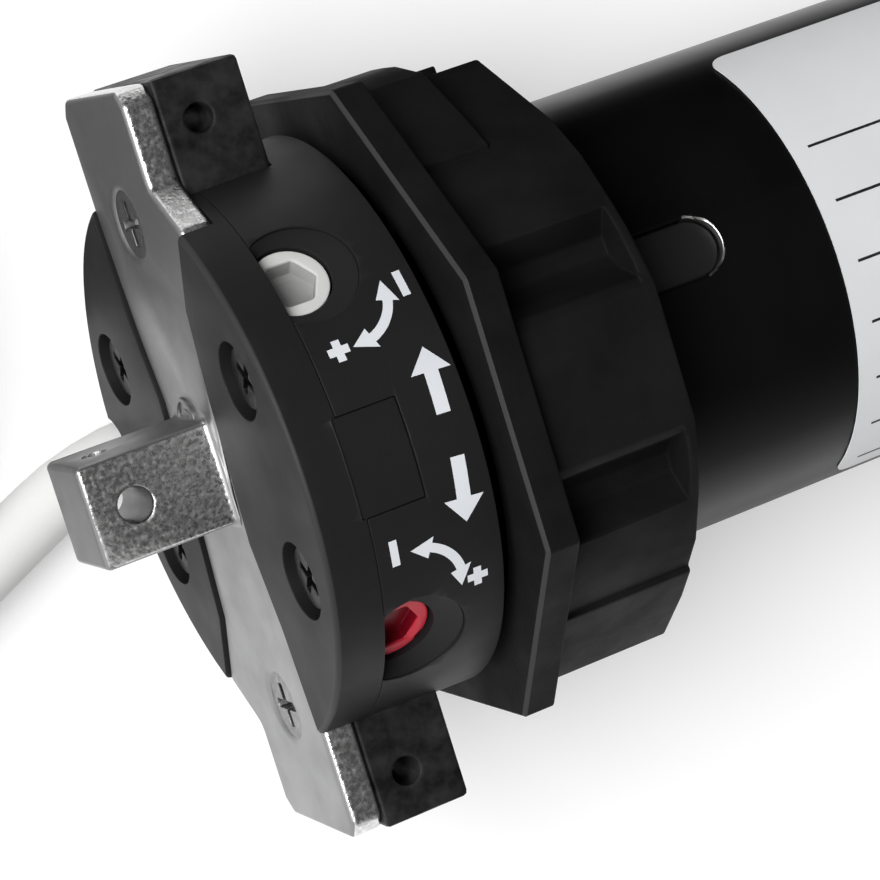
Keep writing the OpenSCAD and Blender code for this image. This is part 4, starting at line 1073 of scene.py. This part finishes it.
cores = lead_set("cores", CORE_R, CORE_LEN, 0.0, CORE_EDGE)
shades = cores.data.attributes.new("core_colour", "FLOAT_COLOR", "FACE")
for face in cores.data.polygons:
    away = (face.center - route[-1]) / MM
    across, up = away.dot(core_side), away.z
    which = CORE_OFFSETS.index((1 if across > 0 else -1, 1 if up > 0 else -1))
    shade = CORE_SHADES[which]
    if which == STRIPED_CORE and abs(face.normal.z) > STRIPE_FACING:
        shade = CORE_STRIPE
    shades.data[face.index].color = (*shade, 1.0)
settle(cores, "frame", "core_colours", FINISHES["core_colours"], "cable_cores")
ferrules = lead_set("ferrules", FERRULE_R, FERRULE_LEN, CORE_LEN, FERRULE_EDGE)
settle(ferrules, "frame", "ferrule_tin", FINISHES["ferrule_tin"], "core_ferrules")


# The other solids keep their shape and take their slot's finish

slot_of = {s["node"]: s["material_slot"] for s in frame["record"]["subparts"]}
for node, solid in frame["nodes"].items():
    if not solid.hide_render:
        solid.data.materials.clear()
        solid.data.materials.append(FINISHES[slot_of[node]])

tuple(route[0])


# Floor, cards that only reflections show, and light

MATT, MATT_SHINE = 0.9, 0.1
PAPER, PAPER_GLOW = 0.74, 0.30
FLOOR_SPAN, FLOOR_X = 12000.0, 200.0
CARD_LIFT = 0.2
UPRIGHT, FLAT = (QUARTER_TURN, 0, 0), (0, 0, 0)
# Each card's name, tone, turn, middle and spans
CARDS = (
    ("dark_card", 0.01, UPRIGHT, (315, 46, TABLE_Z + 55), (580, 0, 110)),
    ("grey_card", 0.30, FLAT, (-31, 54.5, TABLE_Z + CARD_LIFT), (60, 81, 0)),
    ("pale_card", 0.55, FLAT, (237.5, -44, TABLE_Z + CARD_LIFT), (425, 44, 0)),
)
KEY_FROM = (-0.66, 0.2, 0.72)
KEY_POWER = 4.0
KEY_SPREAD = 42.0
SKY_SIDE = (-0.45, -0.85, -0.25)
SKY_FROM, SKY_TO = 0.25, 0.9
SKY_DARK, SKY_BRIGHT = 0.08, 1.0

floor = plain_form(bpy.ops.mesh.primitive_plane_add, size=FLOOR_SPAN * MM, location=(0, 0, 0))
floor.name = "floor"
floor.data.transform(Matrix.Translation((FLOOR_X * MM, 0, TABLE_Z * MM)))
paper = Finish("floor_paper", (PAPER, PAPER, PAPER), MATT, specular=MATT_SHINE)
paths = paper.tree.nodes.new("ShaderNodeLightPath")
seen = reckon(paper.tree, "MAXIMUM", paths.outputs["Is Camera Ray"], paths.outputs["Is Glossy Ray"])
seen = reckon(paper.tree, "MAXIMUM", seen, paths.outputs["Is Transmission Ray"])
paper.set("Emission Color", (1, 1, 1, 1))
paper.link(between(paper.tree, seen, 0.0, PAPER_GLOW), "Emission Strength")
floor.data.materials.append(paper.material)


def reflection_card(name, tone, turn, middle, spans):
    """A card of one tone that only reflections show."""
    card = plain_form(bpy.ops.mesh.primitive_plane_add, size=1.0, location=(0, 0, 0), rotation=turn)
    card.name = name
    bpy.ops.object.transform_apply()
    across = Matrix.Diagonal((*(Vector(spans) * MM), 1.0))
    card.data.transform(Matrix.Translation(Vector(middle) * MM) @ across)
    card.data.materials.append(Finish(name, (tone, tone, tone), MATT, specular=MATT_SHINE).material)
    card.visible_camera = False
    card.visible_diffuse = False
    card.visible_shadow = False


for card in CARDS:
    reflection_card(*card)

key_lamp = bpy.data.lights.new("key", "SUN")
key_lamp.energy = KEY_POWER
key_lamp.angle = math.radians(KEY_SPREAD)
key = in_scene("key", key_lamp)
key.rotation_euler = Vector(KEY_FROM).to_track_quat("Z", "Y").to_euler()

world = bpy.data.worlds.new("studio")
world.use_nodes = True
bpy.context.scene.world = world
sky = world.node_tree
backdrop = sky.nodes["Background"]
backdrop.inputs["Color"].default_value = (1, 1, 1, 1)
towards = sky.nodes.new("ShaderNodeVectorMath")
towards.operation = "DOT_PRODUCT"
towards.inputs[1].default_value = SKY_SIDE
joined(sky, sky.nodes.new("ShaderNodeTexCoord").outputs["Generated"], towards.inputs[0])
glow = spread(sky, towards.outputs["Value"], SKY_FROM, SKY_TO, SKY_DARK, SKY_BRIGHT)
joined(sky, glow, backdrop.inputs["Strength"])

bpy.context.scene.view_settings.view_transform = "Standard"
